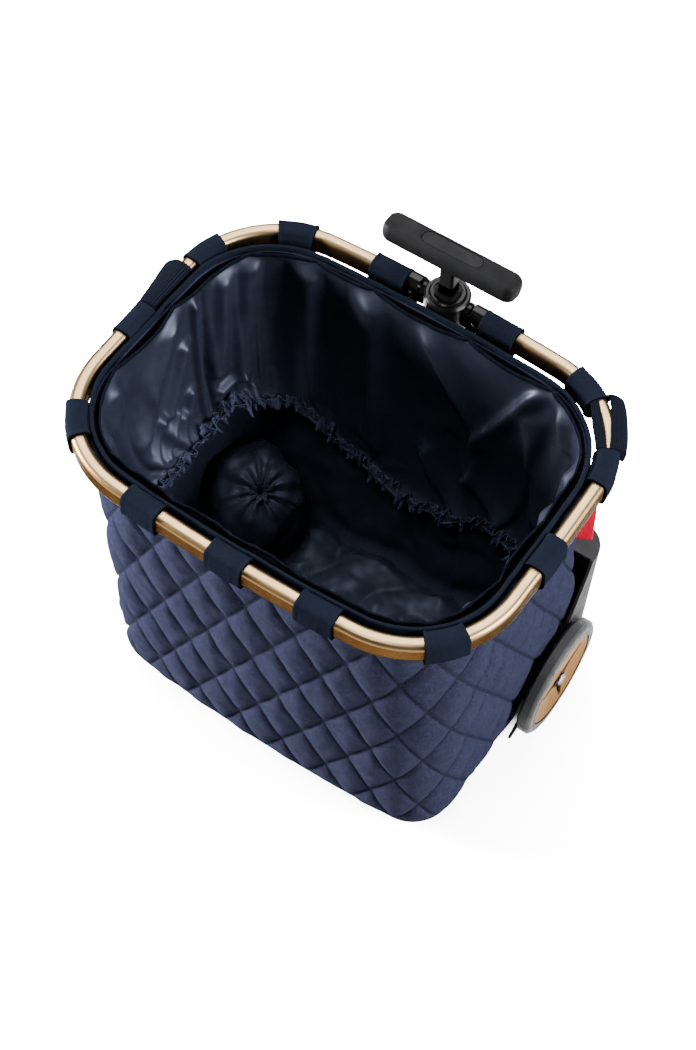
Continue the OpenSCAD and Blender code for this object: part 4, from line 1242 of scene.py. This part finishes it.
def t_bar():
    """The grip, as one soft bar, with the button's seat cut into it."""
    half = size("grip_upper").x / 2
    end = GRIP_END
    steps = [1 - (1 - k / 10) ** 2 for k in range(11)]
    xs = [-half + end * t for t in steps] + list(np.linspace(-half + end, half - end, 25)[1:-1])
    xs += [half - end * t for t in steps[::-1]]
    points = []
    for x in xs:
        far = max(0.0, (abs(x) - (half - end)) / end)
        k = max(0.02, math.sqrt(1 - far * far) ** 0.8) if far < 1 else 0.02
        loop = grip_section(k)
        points.append(np.column_stack([np.full(len(loop), x), loop[:, 0] + HANDLE_Y, loop[:, 1]]))
    bar = skin("grip_bar", points, GRIP, ends=(0, 1), body="handle")
    cut_recess(bar)
    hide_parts("grip_upper", "grip_lower")


def cut_recess(bar):
    """Cuts the long oval seat of the button into the bar's top."""
    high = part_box("release_button")[1]
    (half_l, half_w), n = SEAT, 48
    outline = []
    for k in range(n):
        t = TAU * (k + 0.5) / n
        x = math.copysign(half_l - half_w, math.cos(t)) + half_w * math.cos(t)
        outline.append((x, half_w * math.sin(t)))
    verts = [(x, y + HANDLE_Y, z) for z in (high.z - SEAT_DEEP, high.z + 0.01) for x, y in outline]
    cutter = put("cutter", new_mesh("cutter", verts, grid_faces(2, n) + end_faces(2, n)))
    modifier(bar, "BOOLEAN", operation="DIFFERENCE", object=cutter, solver="EXACT")
    shown = bar.evaluated_get(bpy.context.evaluated_depsgraph_get())
    cut = bpy.data.meshes.new_from_object(shown)
    bar.modifiers.clear()
    bar.data = cut
    bpy.data.objects.remove(cutter)


# ---------- The studio ----------

FLOOR = 0.58  # how light it is
FLOOR_HALF = 6
WORLD_LIGHT = 0.5
# Each light's place, width and power
LIGHTS = {
    "top": ((-0.65, 0.9, 2.4), 1.9, 1250),
    "right": ((2.2, 0.3, 1.3), 1.4, 1850),
    "left": ((-1.7, -0.70, 0.60), 0.7, 1950),
    "front": ((0.0, -0.8, 2.6), 0.6, 200),
}
LIT = (0, 0, 0.25)  # where every light looks
CAMERA_TURN = (31.9, 57.6, 2.6)  # azimuth, elevation and roll in degrees, fitted to the photograph
CAMERA_AWAY = (1.5504, 0.0045, 0.0801)  # distance from the rim's middle, then moved right and down
LENS = 64.8


def camera():
    azimuth, elevation, roll = (math.radians(x) for x in CAMERA_TURN)
    distance, across, down = CAMERA_AWAY
    back = Vector((math.sin(azimuth) * math.cos(elevation), -math.cos(azimuth) * math.cos(elevation),
                   math.sin(elevation)))
    right = Vector((math.cos(azimuth), math.sin(azimuth), 0))
    up = back.cross(right)
    right, up = right * math.cos(roll) + up * math.sin(roll), up * math.cos(roll) - right * math.sin(roll)
    cam = put("camera", bpy.data.cameras.new("camera"))
    cam.data.sensor_width = 36
    cam.data.lens = LENS
    cam.location = Vector((0, CENTRE_Y, RIM_Z)) + back * distance + right * across - up * down
    matrix = cam.matrix_world.to_3x3()
    for row in range(3):
        matrix[row] = (right[row], up[row], back[row])
    cam.rotation_euler = matrix.to_euler()
    bpy.context.scene.camera = cam


def area_light(name, place, wide, power):
    """A square light that looks at the basket."""
    data = bpy.data.lights.new(name, "AREA")
    data.size = wide
    data.energy = power
    obj = put(name, data)
    obj.location = place
    obj.rotation_euler = (Vector(place) - Vector(LIT)).to_track_quat("Z", "Y").to_euler()


def studio():
    shade = (FLOOR / SHADE,) * 3
    pale = Shader("pale_floor", shade, 0.85)
    pale.vary_color(pale.patches(3, 2), shade, (1.02 * FLOOR / SHADE,) * 3)
    square = [(x * FLOOR_HALF, y * FLOOR_HALF, 0) for x, y in ((-1, -1), (1, -1), (1, 1), (-1, 1))]
    floor = put("floor", new_mesh("floor", square, [(0, 1, 2, 3)]))
    floor.data.materials.append(pale.material)
    world = bpy.data.worlds.new("studio")
    bpy.context.scene.world = world
    world.use_nodes = True
    sky = world.node_tree.nodes["Background"].inputs
    sky["Color"].default_value = (1, 1, 1, 1)
    sky["Strength"].default_value = WORLD_LIGHT
    for name, light in LIGHTS.items():
        area_light(name, *light)


camera()
studio()
finish_cad_nodes()
button_spring()
quilted_basket()
rim_of_basket()
hem_points = satin_collar()
frill(hem_points)
lining()
side_pocket()
for number in range(1, LOOPS + 1):
    frame_loop(number)
left_strap()
right_strap()
red_tab()
t_bar()
